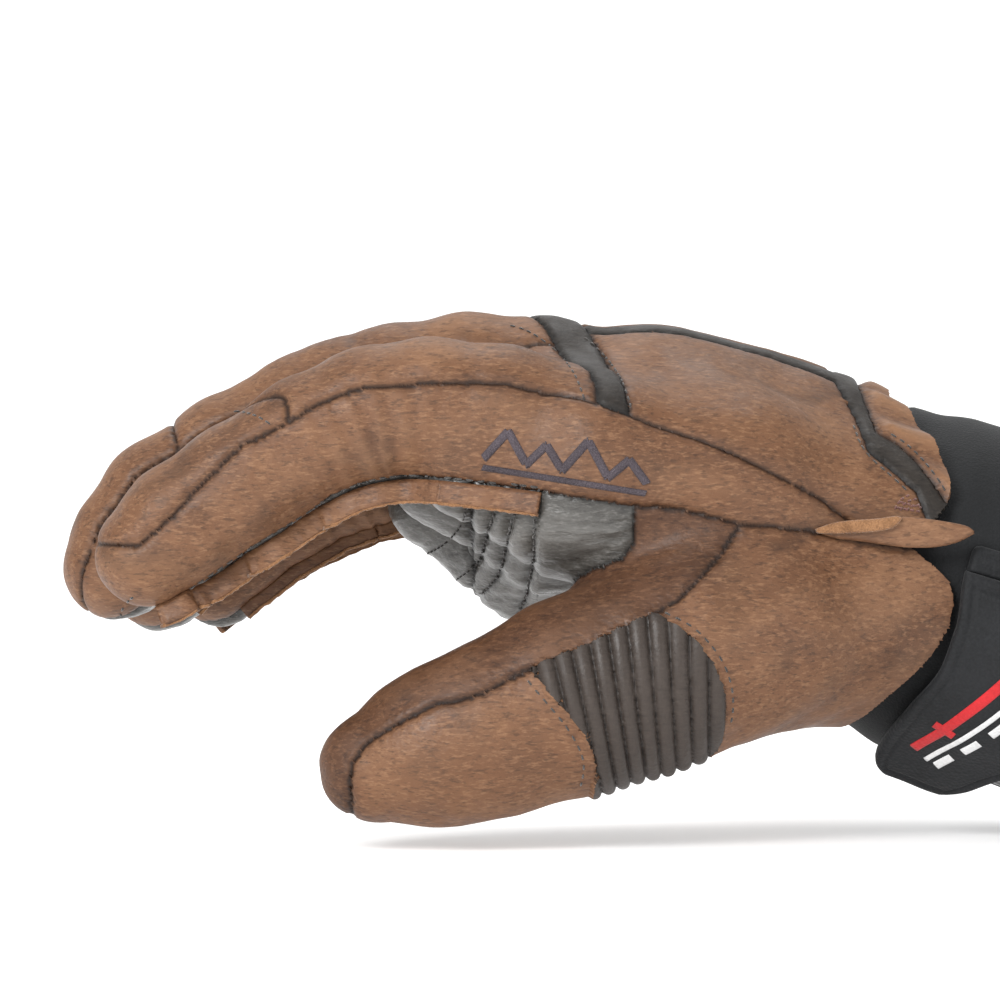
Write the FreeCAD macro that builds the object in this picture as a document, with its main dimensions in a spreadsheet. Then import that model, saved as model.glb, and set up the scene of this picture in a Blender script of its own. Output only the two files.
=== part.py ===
# Right-hand leather riding glove with a neoprene cuff, in its relaxed, half-closed shape.
# Row frame: millimetres, +Z up (back of the hand), +X out of the cuff along the forearm,
# -Y the index and thumb side. The origin is the centre of the cuff's mouth.
# The hand is laid out from a knuckle datum, and DX, DZ carry it to the mouth.
import FreeCAD, Part
import math
import os
import Sketcher

V = FreeCAD.Vector
doc = FreeCAD.newDocument("riding_glove")

# ---------------------------------------------------------------- driving sizes
sheet = doc.addObject("Spreadsheet::Sheet", "sizes")
CELLS = {}
ROW = [1]


def cell(name, value):
    ROW[0] += 1
    sheet.set("A%d" % ROW[0], name)
    sheet.set("B%d" % ROW[0], repr(float(value)))
    sheet.setAlias("B%d" % ROW[0], name)
    CELLS[name] = float(value)
    return float(value)


cell("leather", 1.3)          # shell leather
cell("play", 0.1)             # shell to lining
cell("lining_t", 2.0)         # insulation with fleece in the fingers
cell("hand_lining_t", 2.7)    # the same over the hand
cell("ball_step", 2.2)        # lining knuckle ball below the finger's outside
cell("ball_t", 0.9)
cell("bore_step", 1.9)        # bore that the next segment's ball turns in
cell("back_angle", 120.0)     # dorsal strip of a finger
cell("gusset_angle", 80.0)    # each side strip
cell("palm_angle", 79.0)
cell("thumb_back_angle", 170.0)
cell("neoprene", 3.0)
cell("cuff_lining_t", 1.2)
cell("strap_t", 2.4)
cell("hook_t", 1.0)
DX = cell("datum_dx", -152.0)
DZ = cell("datum_dz", 36.0)


def P(x, y, z):
    """A point of the hand layout in the row frame."""
    return V(x + DX, y, z + DZ)


# Knuckle, middle joint, end joint and tip centre of each finger in the layout, with its radius.
FINGERS = {
    "index": dict(y=-40.0, mcp=(20.0, 10.9), pip=(-28.6, 18.8), dip=(-63.0, 0.0), tip=(-79.5, -14.2), r=13.0, tip_r=11.6, flex=(18, 25)),
    "middle": dict(y=-13.5, mcp=(14.0, 26.3), pip=(-38.0, 22.2), dip=(-75.5, 2.0), tip=(-88.3, -20.0), r=13.0, tip_r=11.8, flex=(30, 35)),
    "ring": dict(y=13.0, mcp=(14.0, 18.5), pip=(-37.0, 13.5), dip=(-72.0, -8.5), tip=(-85.5, -24.0), r=12.9, tip_r=11.6, flex=(30, 35)),
    "little": dict(y=37.7, mcp=(18.0, -0.5), pip=(-33.0, 3.4), dip=(-60.0, -12.0), tip=(-71.5, -22.5), r=11.4, tip_r=10.2, flex=(30, 35)),
}
for n, f in FINGERS.items():
    cell(n + "_radius", f["r"])
    cell(n + "_tip_radius", f["tip_r"])

bad = []


# ---------------------------------------------------------------- sketch and revolve helpers
def frame_of(a, b, n):
    """Placement with local X from a to b and local Z as near n as it can be."""
    d = (b - a).normalize()
    z = (n - d * n.dot(d)).normalize()
    y = z.cross(d)
    m = FreeCAD.Matrix(d.x, y.x, z.x, a.x, d.y, y.y, z.y, a.y, d.z, y.z, z.z, a.z, 0, 0, 0, 1)
    return FreeCAD.Placement(m)


def plane_of(body, role):
    for o in body.Origin.OriginFeatures:
        if o.Role == role:
            return o
    raise ValueError(role)


def expr_value(e):
    if isinstance(e, (int, float)):
        return float(e)
    return float(cell_sum(e))


def cell_sum(text):
    """The value of a small sum or difference of cells and numbers."""
    total, sign = 0.0, 1.0
    for word in text.replace("-", " - ").replace("+", " + ").split():
        if word == "+":
            sign = 1.0
        elif word == "-":
            sign = -1.0
        else:
            if "*" in word:
                a, b = word.split("*")
                va = CELLS[a[6:]] if a.startswith("sizes.") else float(a)
                vb = CELLS[b[6:]] if b.startswith("sizes.") else float(b)
                v = va * vb
            else:
                v = CELLS[word[6:]] if word.startswith("sizes.") else float(word)
            total += sign * v
            sign = 1.0
    return total


def bind(sk, index, e):
    if isinstance(e, str):
        sk.setExpression("Constraints[%d]" % index, e.replace("sizes.", "<<sizes>>."))


def profile_sketch(body, name, edges):
    """A closed profile in the body's XZ plane. edges: ("line", x0, r0) or ("arc", x0, r0, cx, ccw):
    each starts at (x0, r0) and ends where the next starts. Arcs are centred on the axis at cx."""
    sk = body.newObject("Sketcher::SketchObject", name)
    sk.AttachmentSupport = [(plane_of(body, "XZ_Plane"), "")]
    sk.MapMode = "FlatFace"
    n = len(edges)
    pts = [(expr_value(e[1]), expr_value(e[2])) for e in edges]
    for i, e in enumerate(edges):
        p, q = pts[i], pts[(i + 1) % n]
        if e[0] == "line":
            sk.addGeometry(Part.LineSegment(V(p[0], p[1], 0), V(q[0], q[1], 0)), False)
        else:
            cx = expr_value(e[3])
            rad = math.hypot(p[0] - cx, p[1])
            a0 = math.atan2(p[1], p[0] - cx)
            a1 = math.atan2(q[1], q[0] - cx)
            lo, hi = (a0, a1) if e[4] else (a1, a0)
            sk.addGeometry(Part.ArcOfCircle(Part.Circle(V(cx, 0, 0), V(0, 0, 1), rad), lo, hi), False)
    ends = []  # (geo, start pos, end pos) with arcs drawn anticlockwise
    for i, e in enumerate(edges):
        if e[0] == "arc" and not e[4]:
            ends.append((i, 2, 1))
        else:
            ends.append((i, 1, 2))
    for i in range(n):
        g, s, t = ends[i]
        h, u, w = ends[(i + 1) % n]
        sk.addConstraint(Sketcher.Constraint("Coincident", g, t, h, u))
    for i, e in enumerate(edges):
        g, s, t = ends[i]
        after_arc = edges[i - 1][0] == "arc"
        on_axis = abs(pts[i][1]) < 1e-9
        if on_axis:
            sk.addConstraint(Sketcher.Constraint("PointOnObject", g, s, -1))
            if not after_arc:
                k = sk.addConstraint(Sketcher.Constraint("DistanceX", -1, 1, g, s, pts[i][0]))
                bind(sk, k, e[1])
        else:
            k = sk.addConstraint(Sketcher.Constraint("DistanceX", -1, 1, g, s, pts[i][0]))
            bind(sk, k, e[1])
            if not after_arc:
                k = sk.addConstraint(Sketcher.Constraint("DistanceY", -1, 1, g, s, pts[i][1]))
                bind(sk, k, e[2])
        if e[0] == "arc":
            sk.addConstraint(Sketcher.Constraint("PointOnObject", g, 3, -1))
            k = sk.addConstraint(Sketcher.Constraint("DistanceX", -1, 1, g, 3, expr_value(e[3])))
            bind(sk, k, e[3])
    return sk


def revolved(label, edges, angle, place, roll=0.0):
    """A wall of revolution about local X, symmetric about the local Z side turned by roll degrees."""
    body = doc.addObject("PartDesign::Body", label)
    body.Label = label
    sk = profile_sketch(body, label + "_profile", edges)
    rev = body.newObject("PartDesign::Revolution", label + "_turn")
    rev.Profile = sk
    rev.ReferenceAxis = (sk, ["H_Axis"])
    if isinstance(angle, str):
        rev.Angle = expr_value(angle)
        rev.setExpression("Angle", angle.replace("sizes.", "<<sizes>>."))
    else:
        rev.Angle = angle
    rev.Midplane = rev.Angle.Value < 359.9 if hasattr(rev.Angle, "Value") else rev.Angle < 359.9
    body.Tip = rev
    body.Placement = place.multiply(FreeCAD.Placement(V(0, 0, 0), FreeCAD.Rotation(V(1, 0, 0), roll)))
    return body


def compound(label, parts):
    c = doc.addObject("Part::Compound", label)
    c.Label = label
    c.Links = parts
    return c


def cut(label, a, b):
    o = doc.addObject("Part::Cut", label)
    o.Base, o.Tool, o.Label = a, b, label
    return o


def common(label, a, b):
    o = doc.addObject("Part::Common", label)
    o.Base, o.Tool, o.Label = a, b, label
    return o


NODES = []


def node(o):
    NODES.append(o)
    return o


# ---------------------------------------------------------------- fingers
def wall(x0, x1, ra, rb, t="sizes.leather"):
    """Straight strip of shell between x0 and x1."""
    return [("line", x0, ra), ("line", x1, rb), ("line", x1, rb + "-" + t), ("line", x0, ra + "-" + t)]


def sleeve(x0, x1, r, joint_at):
    """Lining tube with the knuckle ball at its root and, where the next ball reaches into it, a bore at its end."""
    rv = expr_value(r)
    ball_r = rv - CELLS["ball_step"]
    ball_i = ball_r - CELLS["ball_t"]
    front, back = 4.6, -4.4
    o = r + "-sizes.leather-sizes.play"
    i = o + "-sizes.lining_t"
    b = r + "-sizes.bore_step"
    step = joint_at - math.sqrt(max(0.0, ball_r ** 2 - expr_value(i) ** 2)) - 0.9
    bored = x0 + 2.0 < step < x1 - 0.5
    end = [("line", x1, b), ("line", step, b), ("line", step, i)] if bored else [("line", x1, i)]
    return [
        ("arc", back, math.sqrt(ball_r ** 2 - back ** 2), 0.0, False),
        ("line", front, math.sqrt(ball_r ** 2 - front ** 2)),
        ("line", x0, math.sqrt(ball_r ** 2 - front ** 2)),
        ("line", x0, o),
        ("line", x1, o)] + end + [
        ("line", x0 + 0.8, i),
        ("line", x0, math.sqrt(ball_i ** 2 - front ** 2)),
        ("line", front, math.sqrt(ball_i ** 2 - front ** 2)),
        ("arc", front, math.sqrt(ball_i ** 2 - front ** 2), 0.0, True),
        ("line", back, math.sqrt(ball_i ** 2 - back ** 2)),
    ]


def domed(x0, x1, ra, rb, t):
    """Closed tip: a tube to x1 with a round end of radius rb."""
    return [
        ("line", x0, ra),
        ("arc", x1, rb, x1, False),
        ("line", "%r+%s" % (x1, rb), 0.0),
        ("arc", "%r+%s-%s" % (x1, rb, t), 0.0, x1, True),
        ("line", x1, rb + "-" + t),
        ("line", x0, ra + "-" + t),
    ]


def bend(a, b, c):
    u, v = (b - a).normalize(), (c - b).normalize()
    return math.degrees(math.acos(max(-1, min(1, u.dot(v)))))


def sleeve_edges(x0, x1, r, joint_at):
    e = sleeve(x0, x1, r, joint_at)
    # the two points after an arc keep only their x, so the duplicates are dropped here
    out = []
    for k in e:
        if out and expr_value(out[-1][1]) == expr_value(k[1]) and abs(expr_value(out[-1][2]) - expr_value(k[2])) < 1e-9:
            out[-1] = k
        else:
            out.append(k)
    return out


UP = V(0, 0, 1)
for n, f in FINGERS.items():
    y = f["y"]
    A, B, C, T = P(f["mcp"][0], y, f["mcp"][1]), P(f["pip"][0], y, f["pip"][1]), P(f["dip"][0], y, f["dip"][1]), P(f["tip"][0], y, f["tip"][1])
    r, rt = "sizes.%s_radius" % n, "sizes.%s_tip_radius" % n
    rv = CELLS[n + "_radius"]
    l1, l2, l3 = (B - A).Length, (C - B).Length, (T - C).Length
    b1, b2 = bend(A, B, C), bend(B, C, T)
    under = rv * math.tan(math.radians(b1 + f["flex"][1]) / 2) + 0.5
    side = 0.7 * rv * math.tan(math.radians(b1 + f["flex"][1]) / 2) + 0.5
    root = 5.0
    pa, pb, pc = frame_of(A, B, UP), frame_of(B, C, UP), frame_of(C, T, UP)
    # first segment: knuckle to middle joint
    node(revolved(n + "_back", wall(root, l1 - 0.6, r, r), "sizes.back_angle", pa))
    g1 = revolved(n + "_gusset_outer", wall(root, l1 - side, r, r), "sizes.gusset_angle", pa, 100.3)
    g2 = revolved(n + "_gusset_inner", wall(root, l1 - side, r, r), "sizes.gusset_angle", pa, -100.3)
    node(compound(n + "_gussets", [g1, g2]))
    node(revolved(n + "_palm_side", wall(root, l1 - under, r, r), "sizes.palm_angle", pa, 180.0))
    node(revolved(n + "_sleeve", sleeve_edges(root, l1 - under, r, l1), 360.0, pa))
    # second segment: middle joint to end joint
    cap0 = rv * math.tan(math.radians(b2) / 2) + 0.5
    node(revolved(n + "_mid_back", wall(0.6, l2 - cap0, r, r), "sizes.back_angle", pb))
    node(revolved(n + "_mid_under", wall(under, l2 - cap0, r, r), 239.0, pb, 180.0))
    tube = revolved(n + "_mid_sleeve", sleeve_edges(under + 0.3, l2 - cap0, r, 999.0), 360.0, pb)
    # fingertip: a cap seamed on at the end joint, and the end of the lining
    node(revolved(n + "_cap", domed(cap0, l3, r, rt, "sizes.leather"), 360.0, pc))
    li = "sizes.leather-sizes.play"
    end = revolved(n + "_tip_pocket", domed(cap0, l3, r + "-" + li, rt + "-" + li, "sizes.lining_t"), 360.0, pc)
    node(compound(n + "_tip_sleeve", [tube, end]))

# ---------------------------------------------------------------- hand: sections through the four rays
RAYS = [
    ((20.0, -40.0, 10.9, 16.2), (82.0, -18.0, -7.0, 24.0)),
    ((14.0, -13.5, 26.3, 15.4), (82.0, -5.0, -6.0, 28.0)),
    ((14.0, 13.0, 18.5, 15.4), (82.0, 8.0, -12.0, 30.0)),
    ((18.0, 37.7, -0.5, 14.4), (82.0, 18.0, -21.0, 26.0)),
]


def ray_at(k, x):
    (x0, y0, z0, r0), (x1, y1, z1, r1) = RAYS[k]
    t = max(0.0, min(1.25, (x - x0) / (x1 - x0)))
    swell = 2.4 * math.sin(math.pi * min(1.0, t)) if k in (1, 2) else 0.0
    return y0 + t * (y1 - y0), z0 + t * (z1 - z0) + swell, r0 + t * (r1 - r0)


def section(x, inset, count=36):
    c = [ray_at(k, x) for k in range(4)]
    cy = sum(q[0] for q in c) / 4
    cz = (c[1][1] + c[2][1]) / 2 - 1.0
    pts = []
    for i in range(count):
        a = 2 * math.pi * i / count
        uy, uz = math.cos(a), math.sin(a)
        lo, hi = 0.0, 90.0

        def inside(s):
            py, pz = cy + uy * s, cz + uz * s
            for k in range(3):
                (ya, za, ra), (yb, zb, rb) = c[k], c[k + 1]
                L2 = (yb - ya) ** 2 + (zb - za) ** 2
                t = max(0.0, min(1.0, ((py - ya) * (yb - ya) + (pz - za) * (zb - za)) / L2))
                d = math.hypot(py - ya - t * (yb - ya), pz - za - t * (zb - za))
                if d < ra + t * (rb - ra) - inset:
                    return True
            return False

        s = 0.0
        while inside(s) and s < hi:
            s += 0.5
        lo, hi = max(0.0, s - 0.5), s
        for _ in range(30):
            m = (lo + hi) / 2
            if inside(m):
                lo = m
            else:
                hi = m
        pts.append((cy + uy * lo, cz + uz * lo))
    # even the radii a little so the wall stays smooth where two rays meet
    rad = [math.hypot(p[0] - cy, p[1] - cz) for p in pts]
    for _ in range(2):
        rad = [(rad[i - 1] + 2 * rad[i] + rad[(i + 1) % count]) / 4 for i in range(count)]
    out = []
    for i in range(count):
        a = 2 * math.pi * i / count
        out.append(P(x, cy + math.cos(a) * rad[i], cz + math.sin(a) * rad[i]))
    return out


def hand_solid(name, inset, x0, x1):
    stops = sorted(set([x0, 6.0, 26.0, 44.0, 63.0, 84.0, x1]))
    rows = [section(x, inset, 32) for x in stops if x0 <= x <= x1]
    n = len(rows[0])
    faces = [Part.Face(Part.makePolygon(rows[0] + [rows[0][0]])), Part.Face(Part.makePolygon(rows[-1] + [rows[-1][0]]))]
    for a, b in zip(rows, rows[1:]):
        for i in range(n):
            j = (i + 1) % n
            faces.append(Part.Face(Part.makePolygon([a[i], a[j], b[j], a[i]])))
            faces.append(Part.Face(Part.makePolygon([a[i], b[j], b[i], a[i]])))
    sh = Part.Shell(faces)
    sh.sewShape()
    solid = Part.Solid(sh)
    if solid.Volume < 0:
        solid.reverse()
    o = doc.addObject("Part::Feature", name)
    o.Shape = solid
    o.Label = name
    return o


LEA, PLAY, HL = CELLS["leather"], CELLS["play"], CELLS["hand_lining_t"]
outer = hand_solid("hand_outside", 0.0, 6.0, 84.0)
shell_in = hand_solid("hand_shell_inside", LEA, 4.0, 88.0)
lining_out = hand_solid("hand_lining_outside", LEA + PLAY, 6.0, 84.0)
lining_in = hand_solid("hand_hollow", LEA + PLAY + HL, 4.0, 88.0)


def prism_z(name, pts, z0=-150.0, z1=150.0):
    """Upright prism over a plan outline (x, y) of the layout."""
    o = doc.addObject("Part::Feature", name)
    w = Part.makePolygon([P(x, y, z0) for x, y in pts] + [P(pts[0][0], pts[0][1], z0)])
    o.Shape = Part.Face(w).extrude(V(0, 0, z1 - z0))
    o.Label = name
    return o


def prism_y(name, pts, y0, y1):
    """Prism through a side outline (x, z) of the layout, from y0 to y1."""
    o = doc.addObject("Part::Feature", name)
    w = Part.makePolygon([P(x, y0, z) for x, z in pts] + [P(pts[0][0], y0, pts[0][1])])
    o.Shape = Part.Face(w).extrude(V(0, y1 - y0, 0))
    o.Label = name
    return o


# finger mouths: the hand ends just behind each knuckle
mouths = prism_z("knuckle_line", [(-30, -80), (29, -80), (28.5, -30), (26.8, -26), (21.5, -23.5), (21.5, 24), (26.5, 26.5), (27, 80), (-30, 80)])

# thumb ray: wrist end, base joint, end joint, tip
TA, TB, TJ, TT = P(98.0, -15.0, -27.0), P(52.0, -42.0, -32.3), P(24.6, -51.5, -42.5), P(-26.5, -50.5, -58.0)
THUMB_N = V(0, -0.78, -0.62)
cell("thumb_wrist_radius", 25.5)
cell("thumb_base_radius", 19.6)
cell("thumb_joint_radius", 18.6)
cell("thumb_tip_radius", 12.6)
pt0, pt1, pt2 = frame_of(TA, TB, THUMB_N), frame_of(TB, TJ, THUMB_N), frame_of(TJ, TT, THUMB_N)
m0, m1, m2 = (TB - TA).Length, (TJ - TB).Length, (TT - TJ).Length


def cone_solid(name, x0, x1, ra, rb, place):
    return revolved(name, [("line", x0, 0.0), ("line", x0, ra), ("line", x1, rb), ("line", x1, 0.0)], 360.0, place)


thenar_void = cone_solid("thumb_ray_hollow", 10.0, m0 + 3.0, "sizes.thumb_wrist_radius-4.2", "sizes.thumb_base_radius-2.0", pt0)
# room for the thumb's first segment as it opens and closes
sweep_room = cone_solid("thumb_room", -2.0, m1 + 4.0, "sizes.thumb_base_radius+2.6", "sizes.thumb_joint_radius+2.6", pt1)

shell0 = cut("hand_shell_raw", outer, shell_in)
shell1 = cut("hand_shell_mouths", shell0, mouths)
shell2 = cut("hand_shell_thumb", shell1, thenar_void)
shell = cut("hand_shell", shell2, sweep_room)

# side outlines of the panels (x, z) of the layout
side_band = [(2, 34), (18, 24.2), (27.5, 19.6), (44.5, 13.6), (60, 6.6), (72, -0.6), (79, -4.6), (88, -7.5), (88, -9), (62, -6.2), (38, -3.0), (12, 0.5), (2, 1)]
back_room = [(2, 34), (18, 24.2), (27.5, 19.6), (44.5, 13.6), (60, 6.6), (72, -0.6), (79, -4.6), (90, -7.6), (90, 60), (2, 60)]
side_tool = prism_y("side_band_room", side_band, -90, -22)
near_back_tool = prism_y("near_back_room", back_room, -90, 0)
far_back_tool = prism_y("far_back_room", [(2, -2), (90, -22), (90, 60), (2, 60)], 0, 40)
near_all = doc.addObject("Part::Fuse", "dorsal_room")
near_all.Base, near_all.Tool, near_all.Label = near_back_tool, far_back_tool, "dorsal_room"
side_panel = node(common("side_panel", shell, side_tool))
not_side = cut("hand_shell_rest", shell, side_tool)
dorsal = common("dorsal_shell", not_side, near_all)
ventral = cut("ventral_shell", not_side, near_all)
strip_tool = prism_z("knuckle_strip_room", [(-30, -80), (38, -80), (37, -40), (31, -24), (31, 24), (35, 38), (38, 80), (-30, 80)])
wrist_tool = prism_z("wrist_strip_room", [(74, -80), (68, -30), (70, 20), (74, 60), (100, 60), (100, -80)])
knuckle_strip = node(common("knuckle_strip", dorsal, strip_tool))
dorsal_a = cut("dorsal_behind_strip", dorsal, strip_tool)
wrist_strip = node(common("wrist_strip", dorsal_a, wrist_tool))
dorsal_b = cut("dorsal_middle", dorsal_a, wrist_tool)
back_tool = prism_z("back_room_plan", [(20, -80), (100, -80), (100, 6), (60, 9), (20, 9)])
back_panel = node(common("back_panel", dorsal_b, back_tool))
outer_back = node(cut("outer_back_panel", dorsal_b, back_tool))
heel_tool = prism_z("heel_room", [(-10, 30), (40, 27), (60, 20), (100, 12), (100, 90), (-10, 90)])
heel_panel = node(common("heel_panel", ventral, heel_tool))
palm_panel = node(cut("palm_panel", ventral, heel_tool))
patch_in = prism_z("palm_patch_room", [(30, -30), (56, -20), (56, 14), (30, 24)])
patch_out = hand_solid("palm_patch_outside", -1.1, 6.0, 84.0)
patch_clear = hand_solid("palm_patch_inside", -0.05, 4.0, 88.0)
patch_raw = cut("palm_patch_raw", patch_out, patch_clear)
patch_plan = common("palm_patch_plan", patch_raw, patch_in)
patch_side = prism_y("palm_patch_side", [(20, 5), (70, -12), (70, -90), (20, -90)], -60, 60)
patch_low = common("palm_patch_low", patch_plan, patch_side)
patch_cone = cone_solid("palm_patch_thumb_room", 4.0, m0 - 5.0, "sizes.thumb_wrist_radius+0.3", "sizes.thumb_base_radius+0.3", pt0)
patch_cut = cut("palm_patch_cut", patch_low, patch_cone)
palm_patch = node(cut("palm_patch", patch_cut, sweep_room))

lining0 = cut("hand_lining_raw", lining_out, lining_in)
lining1 = cut("hand_lining_mouths", lining0, mouths)
lining2 = cut("hand_lining_thumb", lining1, thenar_void)
hand_lining = node(cut("hand_lining", lining2, sweep_room))

# thumb base: a gauntlet shell on the thumb ray, cut where it meets the hand
thenar_raw = revolved("thenar_raw", wall(5.0, m0 - 5.5, "sizes.thumb_wrist_radius", "sizes.thumb_base_radius"), 360.0, pt0)
thenar_lin_raw = revolved("thenar_lining_raw", [
    ("line", 5.0, "sizes.thumb_wrist_radius-sizes.leather-sizes.play"),
    ("line", m0 - 5.5, "sizes.thumb_base_radius-sizes.leather-sizes.play"),
    ("line", m0 - 5.5, "sizes.thumb_base_radius-sizes.bore_step"),
    ("line", m0 - 20.0, "sizes.thumb_base_radius-sizes.bore_step"),
    ("line", 5.0, "sizes.thumb_wrist_radius-4.0")], 360.0, pt0)

# thumb: ribbed first segment, and the tip
rj, rbse, rtip = "sizes.thumb_joint_radius", "sizes.thumb_base_radius", "sizes.thumb_tip_radius"
bj = bend(TB, TJ, TT)
gj = CELLS["thumb_joint_radius"] * math.tan(math.radians(bj + 30) / 2) + 0.6
gb = 7.0
node(revolved("thumb_rib_panel", wall(gb, m1 - 0.8, rbse, rj), "sizes.thumb_back_angle", pt1))
node(revolved("thumb_palm_side", wall(gb, m1 - gj, rbse, rj), 189.0, pt1, 180.0))
node(revolved("thumb_sleeve", sleeve_edges(gb, m1 - gj, rj, m1), 360.0, pt1))


def on_cone(x):
    """Outside radius of the thumb tip at x from its joint."""
    t = round(x / m2, 4)
    return "%r*%s+%r*%s" % (1 - t, rj, t, rtip)


node(revolved("thumb_tip_panel", domed(2.4, m2, on_cone(2.4), rtip, "sizes.leather"), "sizes.thumb_back_angle", pt2))
node(revolved("thumb_tip_palm_side", domed(gj, m2, on_cone(gj), rtip, "sizes.leather"), 189.0, pt2, 180.0))
tl = "sizes.leather-sizes.play"
ball_r = CELLS["thumb_joint_radius"] - CELLS["ball_step"]
ball_i = ball_r - CELLS["ball_t"]
node(revolved("thumb_tip_sleeve", [
    ("arc", -6.0, math.sqrt(ball_r ** 2 - 36.0), 0.0, False),
    ("line", 7.0, math.sqrt(ball_r ** 2 - 49.0)),
    ("line", gj + 0.4, math.sqrt(ball_r ** 2 - 49.0)),
    ("line", gj + 0.4, on_cone(gj + 0.4) + "-" + tl),
    ("arc", m2, rtip + "-" + tl, m2, False),
    ("line", "%r+%s-%s" % (m2, rtip, tl), 0.0),
    ("arc", "%r+%s-%s-sizes.lining_t" % (m2, rtip, tl), 0.0, m2, True),
    ("line", m2, rtip + "-" + tl + "-sizes.lining_t"),
    ("line", gj + 1.4, on_cone(gj + 1.4) + "-" + tl + "-sizes.lining_t"),
    ("line", gj + 0.4, math.sqrt(ball_i ** 2 - 49.0)),
    ("arc", 7.0, math.sqrt(ball_i ** 2 - 49.0), 0.0, True),
    ("line", -6.0, math.sqrt(ball_i ** 2 - 36.0))], 360.0, pt2))

# ---------------------------------------------------------------- cuff
TILT = cell("cuff_tilt", 17.0)
CO = V(0, 0, 0)                                    # mouth centre is the origin
CD = V(math.cos(math.radians(TILT)), 0, -math.sin(math.radians(TILT)))   # out of the mouth


def ellipse_at(name, s, ry, rz):
    """Ellipse across the cuff axis, s from the mouth (negative is towards the hand); ry, rz are cells or sums of them."""
    e = doc.addObject("Part::Ellipse", name)
    big, small = (ry, rz) if expr_value(ry) >= expr_value(rz) else (rz, ry)
    e.MajorRadius, e.MinorRadius = expr_value(big), expr_value(small)
    e.setExpression("MajorRadius", big.replace("sizes.", "<<sizes>>."))
    e.setExpression("MinorRadius", small.replace("sizes.", "<<sizes>>."))
    z = CD
    x = V(0, 1, 0) if expr_value(ry) >= expr_value(rz) else CD.cross(V(0, 1, 0))
    y = z.cross(x)
    c = CO + CD * s
    e.Placement = FreeCAD.Placement(FreeCAD.Matrix(x.x, y.x, z.x, c.x, x.y, y.y, z.y, c.y, x.z, y.z, z.z, c.z, 0, 0, 0, 1))
    return e


cell("cuff_root_ry", 35.5)
cell("cuff_root_rz", 31.0)
cell("cuff_mid_ry", 40.0)
cell("cuff_mid_rz", 38.5)
cell("cuff_mouth_ry", 42.5)
cell("cuff_mouth_rz", 41.0)
STATIONS = [(-86.0, "root"), (-56.0, "mid"), (0.0, "mouth")]


def cuff_loft(name, inset, s0=None, s1=None, extra=0.0):
    es = []
    for i, (s, tag) in enumerate(STATIONS):
        sv = s
        if i == 0 and s0 is not None:
            sv = s0
        if i == len(STATIONS) - 1 and s1 is not None:
            sv = s1
        es.append(ellipse_at("%s_e%d" % (name, i), sv, "sizes.cuff_%s_ry%s" % (tag, inset), "sizes.cuff_%s_rz%s" % (tag, inset)))
    l = doc.addObject("Part::Loft", name)
    l.Sections, l.Solid, l.Ruled, l.Label = es, True, False, name
    return l


cuff_out = cuff_loft("cuff_outside", "")
cuff_in = cuff_loft("cuff_inside", "-sizes.neoprene", -87.0, 1.0)
hand_pad = hand_solid("hand_clearance", -0.15, 5.0, 84.15)
cuff_raw = cut("cuff_raw", cuff_out, cuff_in)
cuff = node(cut("cuff", cuff_raw, hand_pad))
cl_out = cuff_loft("cuff_lining_outside", "-sizes.neoprene-sizes.play", -86.0, -1.5)
cl_in = cuff_loft("cuff_lining_inside", "-sizes.neoprene-sizes.play-sizes.cuff_lining_t", -87.0, 1.0)
cuff_lining_raw = cut("cuff_lining_raw", cl_out, cl_in)
cuff_lining = node(cut("cuff_lining", cuff_lining_raw, hand_pad))


def axis_place(s):
    """Local X out of the mouth, local Z up, at s along the cuff."""
    return frame_of(CO + CD * s, CO + CD * (s + 1.0), UP)


# binding round the mouth: a U of tape over the neoprene's edge
bind_out = doc.addObject("Part::Loft", "binding_outside")
bind_out.Sections = [ellipse_at("bo0", -7.0, "sizes.cuff_mouth_ry+0.9", "sizes.cuff_mouth_rz+0.9"), ellipse_at("bo1", 1.4, "sizes.cuff_mouth_ry+1.2", "sizes.cuff_mouth_rz+1.2")]
bind_out.Solid, bind_out.Ruled, bind_out.Label = True, True, "binding_outside"
bind_in = doc.addObject("Part::Loft", "binding_inside")
bind_in.Sections = [ellipse_at("bi0", -8.0, "sizes.cuff_mouth_ry-sizes.neoprene-0.8", "sizes.cuff_mouth_rz-sizes.neoprene-0.8"), ellipse_at("bi1", 2.4, "sizes.cuff_mouth_ry-sizes.neoprene-0.8", "sizes.cuff_mouth_rz-sizes.neoprene-0.8")]
bind_in.Solid, bind_in.Ruled, bind_in.Label = True, True, "binding_inside"
bind_raw = cut("binding_raw", bind_out, bind_in)
bind_raw2 = cut("binding_raw2", bind_raw, cuff_out)
binding = node(cut("cuff_binding", bind_raw2, cl_out))

# elastic sewn round the cuff where the leather hem holds it
el_out = cuff_loft("elastic_outside", "+0.9")
el_slab = doc.addObject("Part::Box", "elastic_slab")
el_slab.Length, el_slab.Width, el_slab.Height = 7.0, 140.0, 140.0
el_slab.Placement = axis_place(-67.0).multiply(FreeCAD.Placement(V(0, -70, -70), FreeCAD.Rotation()))
el_ring = cut("elastic_ring", el_out, cuff_out)
el_band = common("elastic_band", el_ring, el_slab)
el_band2 = cut("elastic_band_clear", el_band, hand_pad)
thumb_pad = cone_solid("thumb_ray_clearance", 4.0, m0 - 5.0, "sizes.thumb_wrist_radius+0.15", "sizes.thumb_base_radius+0.15", pt0)
wrist_elastic = node(cut("wrist_elastic", el_band2, thumb_pad))
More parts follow.
